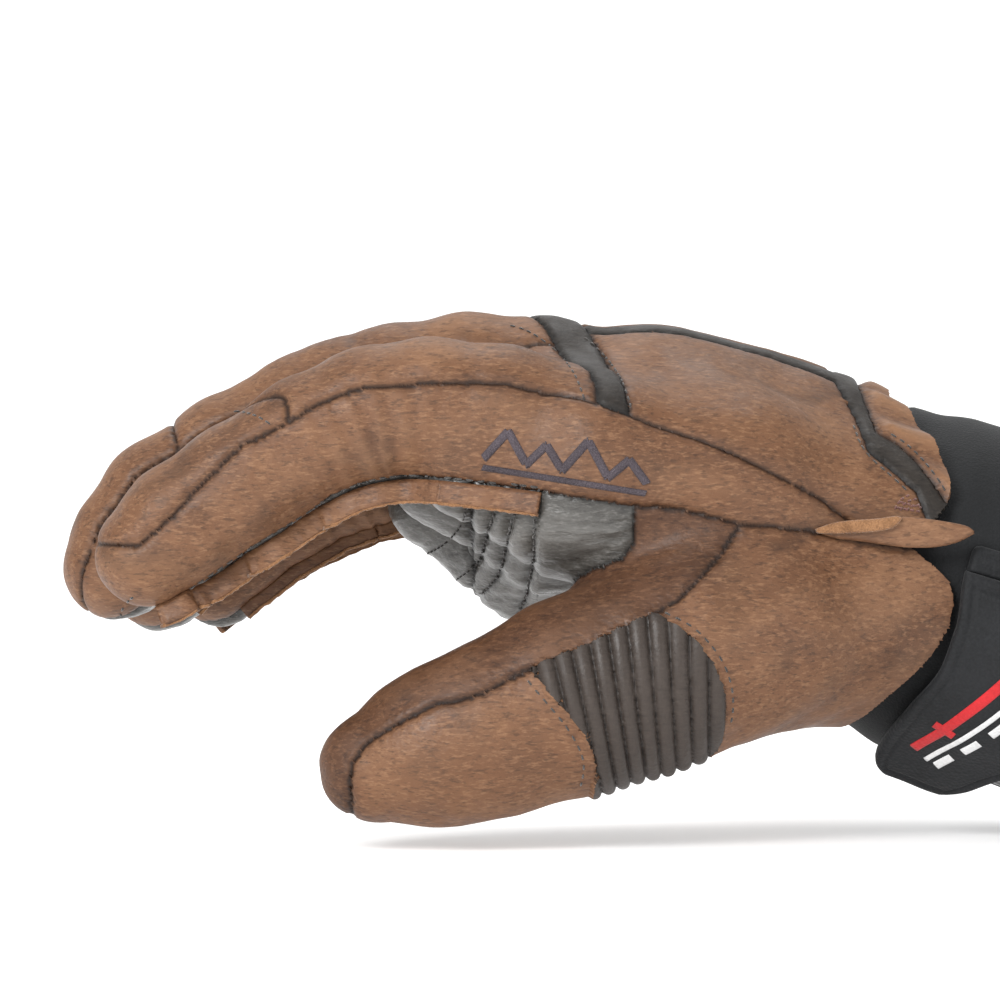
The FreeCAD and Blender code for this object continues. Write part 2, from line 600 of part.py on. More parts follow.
# thumb gauntlet: what lies outside the hand and the cuff
cuff_pad = cuff_loft("cuff_clearance", "+0.15", -90.0, 4.0)
past_hem = doc.addObject("Part::Box", "past_thumb_hem")
past_hem.Length, past_hem.Width, past_hem.Height = 140.0, 200.0, 200.0
past_hem.Placement = axis_place(-57.0).multiply(FreeCAD.Placement(V(0, -100, -100), FreeCAD.Rotation()))
not_thumb = doc.addObject("Part::Fuse", "thumb_gauntlet_limits")
not_thumb.Base, not_thumb.Tool, not_thumb.Label = cuff_pad, past_hem, "thumb_gauntlet_limits"
thenar_a = cut("thenar_outside_hand", thenar_raw, hand_pad)
thenar_panel = node(cut("thenar_panel", thenar_a, not_thumb))
thenar_b = cut("thenar_lining_outside_hand", thenar_lin_raw, hand_pad)
thenar_lining = node(cut("thenar_lining", thenar_b, not_thumb))


# wrist closure: a curved flap on the thumb side of the cuff, hinged on its sewn upper edge
def band(name, lo, hi, s0, s1, a0, a1):
    """A piece of wall lo to hi proud of the cuff, between s0 and s1 along it and a0 and a1 round it (0 is up, 90 the thumb side)."""
    o1 = cuff_loft(name + "_o", "+%r" % hi)
    o0 = cuff_loft(name + "_i", "+%r" % lo)
    ring = cut(name + "_ring", o1, o0)
    # wedge in the plane across the axis
    pts = [V(s0, 0, 0)]
    w = []
    steps = 6
    R = 75.0
    base = axis_place(0.0)
    poly = [V(0, 0, 0)]
    for i in range(steps + 1):
        a = math.radians(a0 + (a1 - a0) * i / steps)
        # local Y of axis_place is up x axis; the thumb side is world -Y
        poly.append(V(0, -math.sin(a) * R, math.cos(a) * R))
    poly.append(V(0, 0, 0))
    face = Part.Face(Part.makePolygon([V(s0, p.y, p.z) for p in poly]))
    solid = face.extrude(V(s1 - s0, 0, 0))
    # local frame to row frame: local Y must map to world Y
    m = FreeCAD.Matrix(CD.x, 0, -CD.z, 0, 0, 1, 0, 0, CD.z, 0, CD.x, 0, 0, 0, 0, 1)
    tool = doc.addObject("Part::Feature", name + "_wedge")
    tool.Shape = solid.transformGeometry(m)
    tool.Label = name + "_wedge"
    return common(name, ring, tool)


loop_field = node(band("loop_field", 0.05, 1.05, -50.0, -14.0, 100.0, 165.0))
strap_hook = node(band("strap_hook", 1.6, 2.6, -48.0, -16.0, 108.0, 154.0))
strap = node(band("strap", 2.7, 5.1, -51.5, -12.0, 84.0, 158.0))
strap_anchor = node(band("strap_anchor", 0.05, 2.3, -51.5, -14.0, 72.0, 82.0))
strap_badge = node(band("strap_badge", 5.15, 5.75, -46.0, -22.0, 98.0, 142.0))

# gathered leather over the elastic, on the far side of the wrist
gather_raw = band("gather_raw", 1.0, 2.3, -72.0, -50.0, -44.0, 46.0)
gather_panel = node(cut("gather_panel", gather_raw, hand_pad))

# pull tab: a leaf of leather sewn in at the wrist end of the side seam
tab = doc.addObject("PartDesign::Body", "pull_tab")
tab.Label = "pull_tab"
sk = tab.newObject("Sketcher::SketchObject", "pull_tab_outline")
sk.AttachmentSupport = [(plane_of(tab, "XY_Plane"), "")]
sk.MapMode = "FlatFace"
cell("tab_len", 34.0)
cell("tab_w", 8.0)
cell("tab_t", 1.6)
outline = [(0.0, 0.0), (16.0, -0.6), (31.0, -1.2), (36.0, -5.2), (31.0, -8.0), (12.0, -7.0), (1.5, -4.0)]
for i in range(len(outline)):
    p, q = outline[i], outline[(i + 1) % len(outline)]
    sk.addGeometry(Part.LineSegment(V(p[0], p[1], 0), V(q[0], q[1], 0)), False)
for i in range(len(outline)):
    sk.addConstraint(Sketcher.Constraint("Coincident", i, 2, (i + 1) % len(outline), 1))
for i, p in enumerate(outline):
    k = sk.addConstraint(Sketcher.Constraint("DistanceX", -1, 1, i, 1, p[0])) if abs(p[0]) > 1e-9 else sk.addConstraint(Sketcher.Constraint("PointOnObject", i, 1, -2))
    if p[0] == 36.0:  # tip
        sk.setExpression("Constraints[%d]" % k, "<<sizes>>.tab_len")
    if abs(p[1]) > 1e-9:
        k = sk.addConstraint(Sketcher.Constraint("DistanceY", -1, 1, i, 1, p[1]))
        if p[1] == -8.0:
            sk.setExpression("Constraints[%d]" % k, "-<<sizes>>.tab_w")
    else:
        sk.addConstraint(Sketcher.Constraint("PointOnObject", i, 1, -1))
pad = tab.newObject("PartDesign::Pad", "pull_tab_pad")
pad.Profile = sk
pad.Length = CELLS["tab_t"]
pad.setExpression("Length", "<<sizes>>.tab_t")
tab.Tip = pad
hole_sk = tab.newObject("Sketcher::SketchObject", "pull_tab_hole")
hole_sk.AttachmentSupport = [(plane_of(tab, "XY_Plane"), "")]
hole_sk.MapMode = "FlatFace"
hole_sk.addGeometry(Part.Circle(V(21.0, -3.9, 0), V(0, 0, 1), 1.3), False)
hole_sk.addConstraint(Sketcher.Constraint("Radius", 0, 1.3))
hole_sk.addConstraint(Sketcher.Constraint("DistanceX", -1, 1, 0, 3, 21.0))
hole_sk.addConstraint(Sketcher.Constraint("DistanceY", -1, 1, 0, 3, -3.9))
pk = tab.newObject("PartDesign::Pocket", "pull_tab_slit")
pk.Profile = hole_sk
pk.Type = 1
pk.Midplane = True
tab.Tip = pk
tab.Placement = FreeCAD.Placement(P(69.5, -46.6, -3.0), FreeCAD.Rotation(V(1, 0, 0), 90.0))
node(tab)

doc.recompute()

# ---------------------------------------------------------------- checks and export
for o in doc.Objects:
    if any(w in ("Invalid", "Error") for w in o.State):
        bad.append("%s: %s" % (o.Label, o.State))
for o in NODES:
    s = o.Shape
    if s.isNull():
        bad.append("%s: null" % o.Label)
    elif not s.isValid():
        bad.append("%s: not valid" % o.Label)
    elif not s.Solids:
        bad.append("%s: no solid" % o.Label)
names = [o.Label for o in NODES]
if len(set(names)) != len(names) or len(names) > 60:
    bad.append("node names: %d, %d unique" % (len(names), len(set(names))))
if bad:
    print("\n".join(bad))
    raise SystemExit("some sub-parts failed")
os.makedirs("parts", exist_ok=True)
for o in NODES:
    o.Shape.exportStep("parts/%s.step" % o.Label)
    print("%-22s solids %d volume %9.1f" % (o.Label, len(o.Shape.Solids), o.Shape.Volume))
print("nodes", len(NODES))
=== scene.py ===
# Right-hand insulated leather glove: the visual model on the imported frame.
# Shapes are worked out in millimetres in the hand's own layout, then moved to the row frame in metres.
import math
import bpy
import numpy as np
import openvdb
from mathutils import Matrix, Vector, kdtree
from mathutils.bvhtree import BVHTree


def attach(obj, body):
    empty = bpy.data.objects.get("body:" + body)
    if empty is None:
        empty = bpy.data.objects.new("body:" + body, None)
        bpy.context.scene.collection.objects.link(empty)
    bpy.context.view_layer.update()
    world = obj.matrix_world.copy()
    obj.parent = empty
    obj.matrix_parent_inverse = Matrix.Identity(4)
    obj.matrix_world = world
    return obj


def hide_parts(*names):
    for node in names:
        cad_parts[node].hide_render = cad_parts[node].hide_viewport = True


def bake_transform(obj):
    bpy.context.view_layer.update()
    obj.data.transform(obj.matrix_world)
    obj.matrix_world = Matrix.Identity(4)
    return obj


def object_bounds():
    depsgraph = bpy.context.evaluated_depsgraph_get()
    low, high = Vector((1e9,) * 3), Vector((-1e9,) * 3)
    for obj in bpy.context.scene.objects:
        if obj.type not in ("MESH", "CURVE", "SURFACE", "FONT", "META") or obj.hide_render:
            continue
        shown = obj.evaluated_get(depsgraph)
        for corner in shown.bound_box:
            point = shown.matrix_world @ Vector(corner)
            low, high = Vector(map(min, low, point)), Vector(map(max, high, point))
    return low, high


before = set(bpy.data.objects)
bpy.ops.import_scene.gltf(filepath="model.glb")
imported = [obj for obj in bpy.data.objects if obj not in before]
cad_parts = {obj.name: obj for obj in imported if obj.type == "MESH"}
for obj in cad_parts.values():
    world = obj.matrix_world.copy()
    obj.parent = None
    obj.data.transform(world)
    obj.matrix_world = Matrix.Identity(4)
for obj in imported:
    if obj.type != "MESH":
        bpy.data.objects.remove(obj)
BOX0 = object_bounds()
OFF = np.array([-152.0, 0.0, 36.0])
CAMD = 969.0
PX = 4.3


def row(p):
    return (np.asarray(p, float) + OFF) / 1000.0


def lay(p):
    return np.asarray(p, float) * 1000.0 - OFF


# ------------------------------------------------------------------ camera and light
scene = bpy.context.scene
cam_data = bpy.data.cameras.new("camera")
cam = bpy.data.objects.new("camera", cam_data)
scene.collection.objects.link(cam)
cam_data.lens, cam_data.sensor_width = 150.0, 36.0
cam_data.clip_end = 20.0
cam.location = row((0, -CAMD, 0))
cam.rotation_euler = (math.radians(90), 0, 0)
scene.camera = cam
scene.view_settings.view_transform = "Standard"

# ------------------------------------------------------------------ noise
rng = np.random.RandomState(7)
PERM = rng.permutation(256)
GRAD = rng.normal(size=(256, 3))
GRAD /= np.linalg.norm(GRAD, axis=1)[:, None]


def noise(p, scale, seed=0):
    """Smooth gradient noise, about -0.6 to 0.6. p in mm, scale in mm or a triple of them."""
    q = np.asarray(p, float) / np.asarray(scale, float) + seed * 17.13
    i = np.floor(q).astype(int)
    f = q - i
    u = f * f * f * (f * (f * 6 - 15) + 10)
    out = 0.0
    for c in range(8):
        o = np.array([c & 1, (c >> 1) & 1, c >> 2])
        k = i + o
        g = GRAD[PERM[(PERM[(PERM[k[:, 0] & 255] + k[:, 1]) & 255] + k[:, 2]) & 255]]
        w = np.prod(np.where(o, u, 1 - u), axis=1)
        out = out + w * np.sum(g * (f - o), axis=1)
    return out


def ridged(p, scale, seed=0):
    return 1.0 - np.minimum(1.0, np.abs(noise(p, scale, seed)) * 3.2)


def smooth(a, b, x):
    t = np.clip((x - a) / (b - a), 0, 1)
    return t * t * (3 - 2 * t)


# ------------------------------------------------------------------ distance field of the leather body
def cone(X, Y, Z, a, b, ky=1.0):
    (ax, ay, az, ra), (bx, by, bz, rb) = a, b
    dx, dy, dz = bx - ax, by - ay, bz - az
    L = dx * dx + dy * dy + dz * dz
    t = ((X - ax) * dx + (Y - ay) * dy + (Z - az) * dz) / L
    t = np.clip(t, 0, 1)
    ex, ey, ez = X - (ax + t * dx), (Y - (ay + t * dy)) / ky, Z - (az + t * dz)
    return np.sqrt(ex * ex + ey * ey + ez * ez) - (ra + t * (rb - ra))


def smin(a, b, k):
    h = np.maximum(k - np.abs(a - b), 0) / k
    return np.minimum(a, b) - h * h * k * 0.25


def smax(a, b, k):
    return -smin(-a, -b, k)


FING = {
    "index": dict(y=-40.0, w=12.9, cap=-55.0, z1=-13.0, pts=[(20.6, 10.7, 16.8), (0, 18.3, 15.6), (-15.6, 20.6, 14.8), (-28.6, 18.8, 14.6), (-42.5, 13.4, 13.8), (-58.5, 2.9, 13.4), (-71.1, -5.4, 12.8), (-78.6, -12.2, 11.6)]),
    "middle": dict(y=-13.5, w=12.7, cap=-70.0, z1=-16.0, pts=[(10.3, 26.4, 14.5), (-6.9, 28.0, 14.2), (-24.1, 25.5, 13.9), (-36, 22.5, 13.8), (-44.3, 19.3, 13.6), (-62.4, 10.3, 13.0), (-77.8, 0.5, 12.6), (-85.0, -9.3, 12.2), (-88.0, -15.5, 11.8)]),
    "ring": dict(y=13.0, w=12.6, cap=-66.0, z1=-16.0, pts=[(11.8, 17.7, 13.4), (-7.1, 20, 13.2), (-24.7, 17.7, 12.9), (-42.4, 10.6, 12.7), (-60.1, 0.5, 12.4), (-73.5, -10.2, 12.2), (-80.4, -18.4, 11.9)]),
    "little": dict(y=37.7, w=11.3, cap=-52.0, z1=-15.0, pts=[(18.1, -1.2, 12.4), (0, 5.3, 11.8), (-16.9, 7.2, 11.5), (-33.8, 3.1, 11.3), (-49.4, -4.3, 11.0), (-61.7, -13, 10.8), (-68.6, -19.6, 10.5)]),
}
MCP = {"index": (20.0, 10.9), "middle": (14.0, 26.3), "ring": (14.0, 18.5), "little": (18.0, -0.5)}
PIP = {"index": (-28.6, 18.8), "middle": (-38.0, 22.2), "ring": (-37.0, 13.5), "little": (-33.0, 3.4)}
THUMB = [(104, -16, -27, 17, 1.0), (78, -25, -27, 22.5, 1.0), (57.3, -36, -27.5, 23.6, 0.95), (44.1, -42, -32, 22.6, 0.88), (30.9, -46, -37.9, 21.6, 0.82), (15.2, -49, -43.9, 20.4, 0.79), (-2, -50.5, -50.5, 18.2, 0.82), (-13.9, -50.5, -54.6, 16.3, 0.85), (-27.6, -50, -58.9, 11.9, 0.95)]
WEB = -8.0
SLITS = (-26.8, -0.3, 26.2)


def finger_field(X, Y, Z, f):
    d = None
    for a, b in zip(f["pts"], f["pts"][1:]):
        ky = f["w"] / ((a[2] + b[2]) / 2)
        c = cone(X, Y, Z, (a[0], f["y"], a[1], a[2]), (b[0], f["y"], b[1], b[2]), ky)
        d = c if d is None else smin(d, c, 3.0)
    return smax(d, np.abs(Y - f["y"]) - (f["w"] + 0.1), 3.0)


def thumb_field(X, Y, Z):
    d = None
    for a, b in zip(THUMB, THUMB[1:]):
        c = cone(X, Y, Z, a[:4], b[:4], (a[4] + b[4]) / 2)
        d = c if d is None else smin(d, c, 5.0)
    return d


def palm_field(X, Y, Z):
    rays = [
        [(20.6, -40, 10.7, 16.6), (52, -30, 4, 20), (84, -19, -8, 23)],
        [(10.3, -13.5, 26.4, 14.4), (36, -10, 19.5, 18.5), (52, -8, 12.5, 21.5), (66, -6, 4, 26), (84, -4, -9, 29)],
        [(11.8, 13, 17.7, 13.4), (48, 10, 9, 21), (84, 8, -13, 29)],
        [(18, 37.7, -1.2, 12.4), (50, 28, -9, 18), (84, 17, -20, 25)],
        [(-14, -13, 7, 12.0), (14, -12, -5, 15), (46, -8, -9, 21)],
        [(-15, 13, 0, 11.0), (8, 12, -9.5, 16.5), (42, 8, -12, 24)],
        [(-8, 36, -5, 10.0), (16, 33, -12, 13), (50, 24, -18, 20)],
        [(-6, -38, 9, 13.0), (16, -36, 0, 15), (46, -28, -5, 19)],
        [(10, -27, 18.5, 13.6), (42, -20, 12.5, 18.5)],
        [(9, 0, 20.3, 13.6), (44, 1, 10.5, 21)],
        [(12, 25.5, 8.0, 12.6), (46, 19, -2.5, 19)],
    ]
    d = None
    for r in rays:
        for a, b in zip(r, r[1:]):
            c = cone(X, Y, Z, a, b)
            d = c if d is None else smin(d, c, 9.0)
    # wrist: an oval sleeve on the cuff's axis
    c17, s17 = math.cos(math.radians(17)), math.sin(math.radians(17))
    u = (X - 80.2) * c17 - (Z + 14.4) * s17
    v = (X - 80.2) * s17 + (Z + 14.4) * c17
    t = np.clip(u / 34.0, 0, 1)
    ry, rz = 40.0 + 1.9 * t, 34.3 + 4.6 * t
    q = np.sqrt((Y / ry) ** 2 + (v / rz) ** 2)
    w = (q - 1) * 36.0
    w = smax(w, np.maximum(-u - 4.0, u - 60.0), 6.0)
    return smin(d, w, 12.0)


def body_field(X, Y, Z):
    d = palm_field(X, Y, Z)
    for f in FING.values():
        d = smin(d, finger_field(X, Y, Z, f), 5.0)
    for y in SLITS:
        d = smax(d, -np.maximum(np.abs(Y - y) - 0.75, X - WEB), 1.2)
    return smin(d, thumb_field(X, Y, Z), 8.0)


H = 0.85
GX, GY, GZ = np.arange(-106, 124, H), np.arange(-72, 56, H), np.arange(-80, 48, H)
GRID = body_field(GX[:, None, None].astype(np.float32), GY[None, :, None].astype(np.float32), GZ[None, None, :].astype(np.float32))
ORIGIN = np.array([GX[0], GY[0], GZ[0]])


def iso_mesh(grid, step, level):
    g = openvdb.FloatGrid(50.0)
    g.copyFromArray(np.ascontiguousarray(np.clip(grid, -20, 20), dtype=np.float32))
    p, q = g.convertToQuads(level)
    q = q.astype(np.int64)
    tri = np.concatenate([q[:, [0, 1, 2]], q[:, [0, 2, 3]]])
    return p.astype(float) * step + ORIGIN, tri


def gradient(fn, P, e=0.3):
    g = np.empty_like(P)
    for k in range(3):
        a, b = P.copy(), P.copy()
        a[:, k] += e
        b[:, k] -= e
        g[:, k] = (fn(a[:, 0], a[:, 1], a[:, 2]) - fn(b[:, 0], b[:, 1], b[:, 2])) / (2 * e)
    return g


# ------------------------------------------------------------------ side-view seams, as (x, z) pairs seen from the camera
def view_of(P):
    """Where a point falls in a 1000 by 1000 view."""
    k = CAMD / (CAMD + P[:, 1])
    return np.stack([500 + PX * P[:, 0] * k, 500 - PX * P[:, 2] * k], 1)


def line_field(Q, poly):
    """Signed distance of 2-D points to an open line; positive on its left as it runs, with y down."""
    poly = np.asarray(poly, float)
    best = np.full(len(Q), 1e9)
    sign = np.ones(len(Q))
    n = len(poly) - 1
    for i in range(n):
        a, b = poly[i], poly[i + 1]
        d = b - a
        t = ((Q - a) @ d) / (d @ d)
        lo = -1e9 if i == 0 else 0.0
        hi = 1e9 if i == n - 1 else 1.0
        t = np.clip(t, lo, hi)
        r = Q - (a + t[:, None] * d)
        dist = np.hypot(r[:, 0], r[:, 1])
        s = d[0] * r[:, 1] - d[1] * r[:, 0]
        m = dist < best - 1e-9
        best[m] = dist[m]
        sign[m] = np.where(s[m] < 0, 1.0, -1.0)
    return best * sign


SEAM_TOP = [(118, 545), (137, 546.6), (153, 533.8), (173.8, 514.7), (191, 495.5), (216.8, 470), (242, 444.5), (287, 423.8), (318.9, 403), (357, 388.7), (414.5, 384.6), (478.6, 382.7), (511.7, 385.2), (542.3, 392.9), (580.6, 398), (622.7, 412), (657, 426), (700, 440), (727.6, 451.5), (765.8, 469.4), (799, 487), (822, 500), (860, 530)]
SEAM_LOW = [(146, 622), (175.4, 600.8), (204, 581.6), (255, 546.6), (303, 518), (334.8, 495.5), (366.7, 482.8), (405, 476.4), (446.4, 479.6), (500, 486), (545, 492), (580.6, 498.7), (636, 508), (670, 508.5), (702, 515), (740, 524), (778.6, 526.8), (809, 530.6), (870, 541)]
THUMB_BACK = [(352, 822), (350, 807), (349, 781.6), (352, 763.8), (366, 743), (394, 725.5), (432.7, 705), (458, 701), (486, 692), (529.6, 668), (588, 645), (619, 630), (654.6, 613), (677.6, 600.5), (702, 575), (722.5, 552), (739, 526.5), (744, 505)]
THUMB_PALM = [(642, 470), (635, 510), (634, 543), (616, 566), (600, 580), (580, 590), (560, 603), (532, 613), (500, 632), (470, 660)]
RIB_L = [(518, 650), (531, 669.4), (545, 687), (565, 710), (585.7, 735.7), (594.6, 756), (596, 776.5), (590, 800)]
RIB_R = [(640, 596), (655, 613), (676.5, 626), (697, 641), (712, 661.7), (722.5, 684.7), (726, 705), (725, 720), (720, 737), (704, 762)]
HEM = [(846, 300), (848, 380), (862, 404), (889, 408.8), (900.7, 411), (910.5, 420), (920, 435.8), (934, 452.6), (948, 468), (951, 480), (950, 498), (938, 520), (912, 540), (909, 549), (916, 559.7), (934, 565), (949.5, 577.6), (953, 603), (947, 628.6), (926.5, 654), (880.6, 684.7), (829.6, 712.8), (800, 740)]
FAR_TOP = [(-72, -10), (-62, -3), (-48, 5), (-30, 11), (-12, 13), (6, 10), (20, 6), (40, 0), (60, -5), (84, -12), (110, -20)]
FAR_LOW = [(-72, -31), (-61, -23), (-46, -13.5), (-30, -6.5), (-14, -3.5), (4, -6.5), (20, -12), (40, -20), (60, -27), (84, -36), (110, -44)]


HEM_AT = [(-180, -71.5), (-150, -70), (-120, -66), (-90, -63), (-60, -65), (-35, -70), (-15, -76), (5, -78.5), (18, -76.5), (37, -69), (53, -62), (64, -59.8), (74, -63), (81, -66.5), (84, -61), (86.5, -55.5), (93, -52.7), (101, -52.2), (112, -54.7), (127, -62), (147, -69), (165, -71.5), (180, -71.5)]
_d = np.arange(-180, 181, 1.0)
_h = np.interp(_d, [a for a, b in HEM_AT], [b for a, b in HEM_AT])
_k = np.exp(-(np.arange(-5, 6) / 1.8) ** 2)
_h = np.convolve(np.concatenate([_h[-6:-1], _h, _h[1:6]]), _k / _k.sum(), "valid")


def hem_field(P):
    """How far a point lies past the free edge of the leather, along the cuff."""
    c_, s_ = math.cos(math.radians(17)), math.sin(math.radians(17))
    st = (P[:, 0] - 152) * c_ - (P[:, 2] + 36) * s_
    v = (P[:, 0] - 152) * s_ + (P[:, 2] + 36) * c_
    deg = np.degrees(np.arctan2(-P[:, 1], v))
    return st - np.interp(deg, _d, _h)


def mm(P, f):
    return f / PX * (CAMD + P[:, 1]) / CAMD


def finger_coords(P, f):
    """Arc length from the knuckle and angle from the back of the finger, for points near it."""
    pts = np.array([(p[0], p[1]) for p in f["pts"]])
    Q = P[:, [0, 2]]
    best = np.full(len(P), 1e9)
    ang = np.zeros(len(P))
    arc = np.zeros(len(P))
    s0 = 0.0
    n = len(pts) - 1
    for i in range(n):
        a, b = pts[i], pts[i + 1]
        d = b - a
        L = np.hypot(*d)
        t = np.clip(((Q - a) @ d) / L ** 2, -9 if i == 0 else 0, 9 if i == n - 1 else 1)
        r = Q - (a + t[:, None] * d)
        dist = np.hypot(r[:, 0], r[:, 1])
        up = (r[:, 0] * d[1] - r[:, 1] * d[0]) / L
        m = dist < best
        best[m] = dist[m]
        ang[m] = np.arctan2(P[m, 1] - f["y"], up[m])
        arc[m] = s0 + t[m] * L
        s0 += L
    return arc, ang


def fields(P):
    """Every seam field at P, positive on the first-named side."""
    X, Y, Z = P[:, 0], P[:, 1], P[:, 2]
    V2 = view_of(P)
    top = mm(P, line_field(V2, SEAM_TOP))
    low = mm(P, line_field(V2, SEAM_LOW))
    ftop = line_field(np.stack([X, -Z], 1), [(x, -z) for x, z in FAR_TOP])
    flow = line_field(np.stack([X, -Z], 1), [(x, -z) for x, z in FAR_LOW])
    near = Y < -8
    up = np.where(near, top, ftop)
    lo = np.where(near, low, flow)
    out_x = X < WEB + 1.5
    for n, f in FING.items():
        c, h = f["y"], 13.4
        inner = out_x & (np.abs(Y - c) <= h)
        if n == "index":
            inner &= Y > c
        if n == "little":
            inner &= Y < c
        if inner.any():
            arc, a = finger_coords(P[inner], f)
            up[inner] = (math.radians(60) - np.abs(a)) * 12.5
            lo[inner] = (math.radians(152) - np.abs(a)) * 12.5
    mid = (X >= WEB + 1.5) & (X < 12) & (Y > -34) & (Y < 33)
    zc = np.interp(Y, [-40, -13.5, 13, 37.7], [9, 14, 8, -4])
    up[mid] = np.where(Z[mid] > zc[mid], 12.0, -12.0)
    lo[mid] = up[mid]
    slab = np.select([Y < SLITS[0], Y < SLITS[1], Y < SLITS[2]], [0, 1, 2], 3)
    th = palm_cmp(P) - thumb_field(X, Y, Z)
    tv = mm(P, line_field(V2, THUMB_PALM))
    w = smooth(-9, -19, Y) * smooth(4, 12, X)
    th = th * (1 - w) + w * np.maximum(th, tv)
    tb = mm(P, line_field(V2, THUMB_BACK))
    rl = mm(P, line_field(V2, RIB_L))
    rr = mm(P, line_field(V2, RIB_R))
    hem = hem_field(P)
    cap = X - np.array([f["cap"] for f in FING.values()])[slab] + 0.35 * (Z - np.array([f["pts"][-2][1] for f in FING.values()])[slab] - 12) * 1.0
    idx = slab == 0
    cap[idx] = X[idx] - np.interp(Y[idx], [-53, -49, -44, -38, -30], [-46, -48, -54, -60, -61])
    kx0 = X - np.interp(Y, [-52, -44, -30, -8, 13, 37, 50], [21.5, 20, 14, 4, 3, 7, 10])
    kx1 = X - np.interp(Y, [-52, -44, -30, -8, 13, 37, 50], [28.5, 27, 23.5, 17, 17, 20, 23])
    sx0 = Y - np.interp(X, [14, 24, 34, 60, 90], [-20, -19.5, -18.5, -17.5, -19])
    sx1 = Y - np.interp(X, [14, 24, 34, 60, 90], [-14, -13.5, -12, -10.5, -9.5])
    wr0 = mm(P, line_field(V2, [(836, 380), (858.6, 421.7), (869.8, 451), (906, 480.7), (917.5, 492), (926.6, 515.7), (932, 560)]))
    wr1 = mm(P, line_field(V2, [(858, 380), (878, 431.6), (900.7, 444), (920, 463.8), (934, 482), (948, 503), (958, 540)]))
    heel = Y - np.interp(X, [-20, 10, 40, 62, 110], [28, 25, 21, 14, 8])
    z1 = X - np.array([f["z1"] for f in FING.values()])[slab]
    return dict(up=up, lo=lo, th=th, tb=tb, rl=rl, rr=rr, hem=hem, cap=cap, kx0=kx0, kx1=kx1, sx0=sx0, sx1=sx1, wr0=wr0, wr1=wr1, heel=heel, z1=z1,
                zr=X - 9.0, t1=X - 40.0, t0=X - 66.0, b0=Y - SLITS[0], b1=Y - SLITS[1], b2=Y - SLITS[2])


def palm_cmp(P):
    X, Y, Z = P[:, 0], P[:, 1], P[:, 2]
    d = palm_field(X, Y, Z)
    return np.minimum(d, finger_field(X, Y, Z, FING["index"]))


NAMES = ["up", "lo", "th", "tb", "rl", "rr", "hem", "cap", "kx0", "kx1", "sx0", "sx1", "wr0", "wr1", "heel", "z1", "zr", "t1", "t0", "b0", "b1", "b2"]
IX = {n: i for i, n in enumerate(NAMES)}


def cut(P, A, F, col, mask):
    """Splits the triangles of mask along A[:, col] = 0. Returns new points, attributes and triangles."""
    v = A[:, col].copy()
    v[np.abs(v) < 0.04] = 0.0
    A[:, col] = v
    s = v[F]
    cross = mask & (s.max(1) > 0) & (s.min(1) < 0)
    T = F[cross]
    if not len(T):
        return P, A, F, np.arange(len(F))
    keep = np.where(~cross)[0]
    src = np.where(cross)[0]
    e = np.concatenate([T[:, [0, 1]], T[:, [1, 2]], T[:, [2, 0]]])
    e = np.sort(e, 1)
    x = v[e[:, 0]] * v[e[:, 1]] < 0
    key = e[:, 0] * (len(P) + 1) + e[:, 1]
    uk, first = np.unique(key[x], return_index=True)
    ue = e[x][first]
    a, b = v[ue[:, 0]], v[ue[:, 1]]
    t = (a / (a - b))[:, None]
    nP = P[ue[:, 0]] * (1 - t) + P[ue[:, 1]] * t
    nA = A[ue[:, 0]] * (1 - t) + A[ue[:, 1]] * t
    nA[:, col] = 0.0
    base = len(P)
    P2, A2 = np.concatenate([P, nP]), np.concatenate([A, nA])
    lookup = np.searchsorted(uk, key)
    lookup[lookup >= len(uk)] = 0
    idx = np.where(x & (uk[lookup] == key), base + lookup, -1)
    m = len(T)
    c = np.stack([idx[:m], idx[m:2 * m], idx[2 * m:]], 1)
    new, nsrc = [], []
    for k in range(m):
        t0, t1, t2 = T[k]
        c0, c1, c2 = c[k]
        n = (c0 >= 0) + (c1 >= 0) + (c2 >= 0)
        if n == 1:
            if c0 >= 0:
                new += [(t0, c0, t2), (c0, t1, t2)]
            elif c1 >= 0:
                new += [(t1, c1, t0), (c1, t2, t0)]
            else:
                new += [(t2, c2, t1), (c2, t0, t1)]
            nsrc += [src[k]] * 2
        else:
            if c0 < 0:
                new += [(t2, c2, c1), (c2, t0, t1), (c2, t1, c1)]
            elif c1 < 0:
                new += [(t0, c0, c2), (c0, t1, t2), (c0, t2, c2)]
            else:
                new += [(t1, c1, c0), (c1, t2, t0), (c1, t0, c0)]
            nsrc += [src[k]] * 3
    F2 = np.concatenate([F[keep], np.array(new)])
    return P2, A2, F2, np.concatenate([keep, np.array(nsrc)])


# ------------------------------------------------------------------ body mesh, cut along its seams
P, F = iso_mesh(GRID, H, 0.0)
for _ in range(2):
    d = body_field(P[:, 0], P[:, 1], P[:, 2])
    g = gradient(body_field, P)
    g /= np.maximum(np.linalg.norm(g, axis=1), 0.3)[:, None]
    P = P - g * np.clip(d, -0.5, 0.5)[:, None]
fd = fields(P)
A = np.stack([fd[n] for n in NAMES], 1)


def mean(A, F, n):
    return A[F, IX[n]].mean(1)


def big(A, F, n, lim=6.0):
    """Faces where this field is a distance, not a jump between two lines."""
    s = A[F, IX[n]]
    return (s.max(1) - s.min(1)) < lim


def do_cut(n, cond=None):
    global P, A, F
    m = big(A, F, n)
    if cond is not None:
        m &= cond(A, F)
    P, A, F, _ = cut(P, A, F, IX[n], m)


thumb = lambda A, F: mean(A, F, "th") > 0
hand = lambda A, F: mean(A, F, "th") <= 0
do_cut("hem", lambda A, F: P[F].mean(1)[:, 0] > 55)
F = F[(mean(A, F, "hem") < 0) | (P[F].mean(1)[:, 0] < 55)]
far_end = P[F].mean(1)[:, 0] < 112
F = F[far_end]


def upper(A, F):
    return (mean(A, F, "up") > 0) & (P[F].mean(1)[:, 0] < 200)


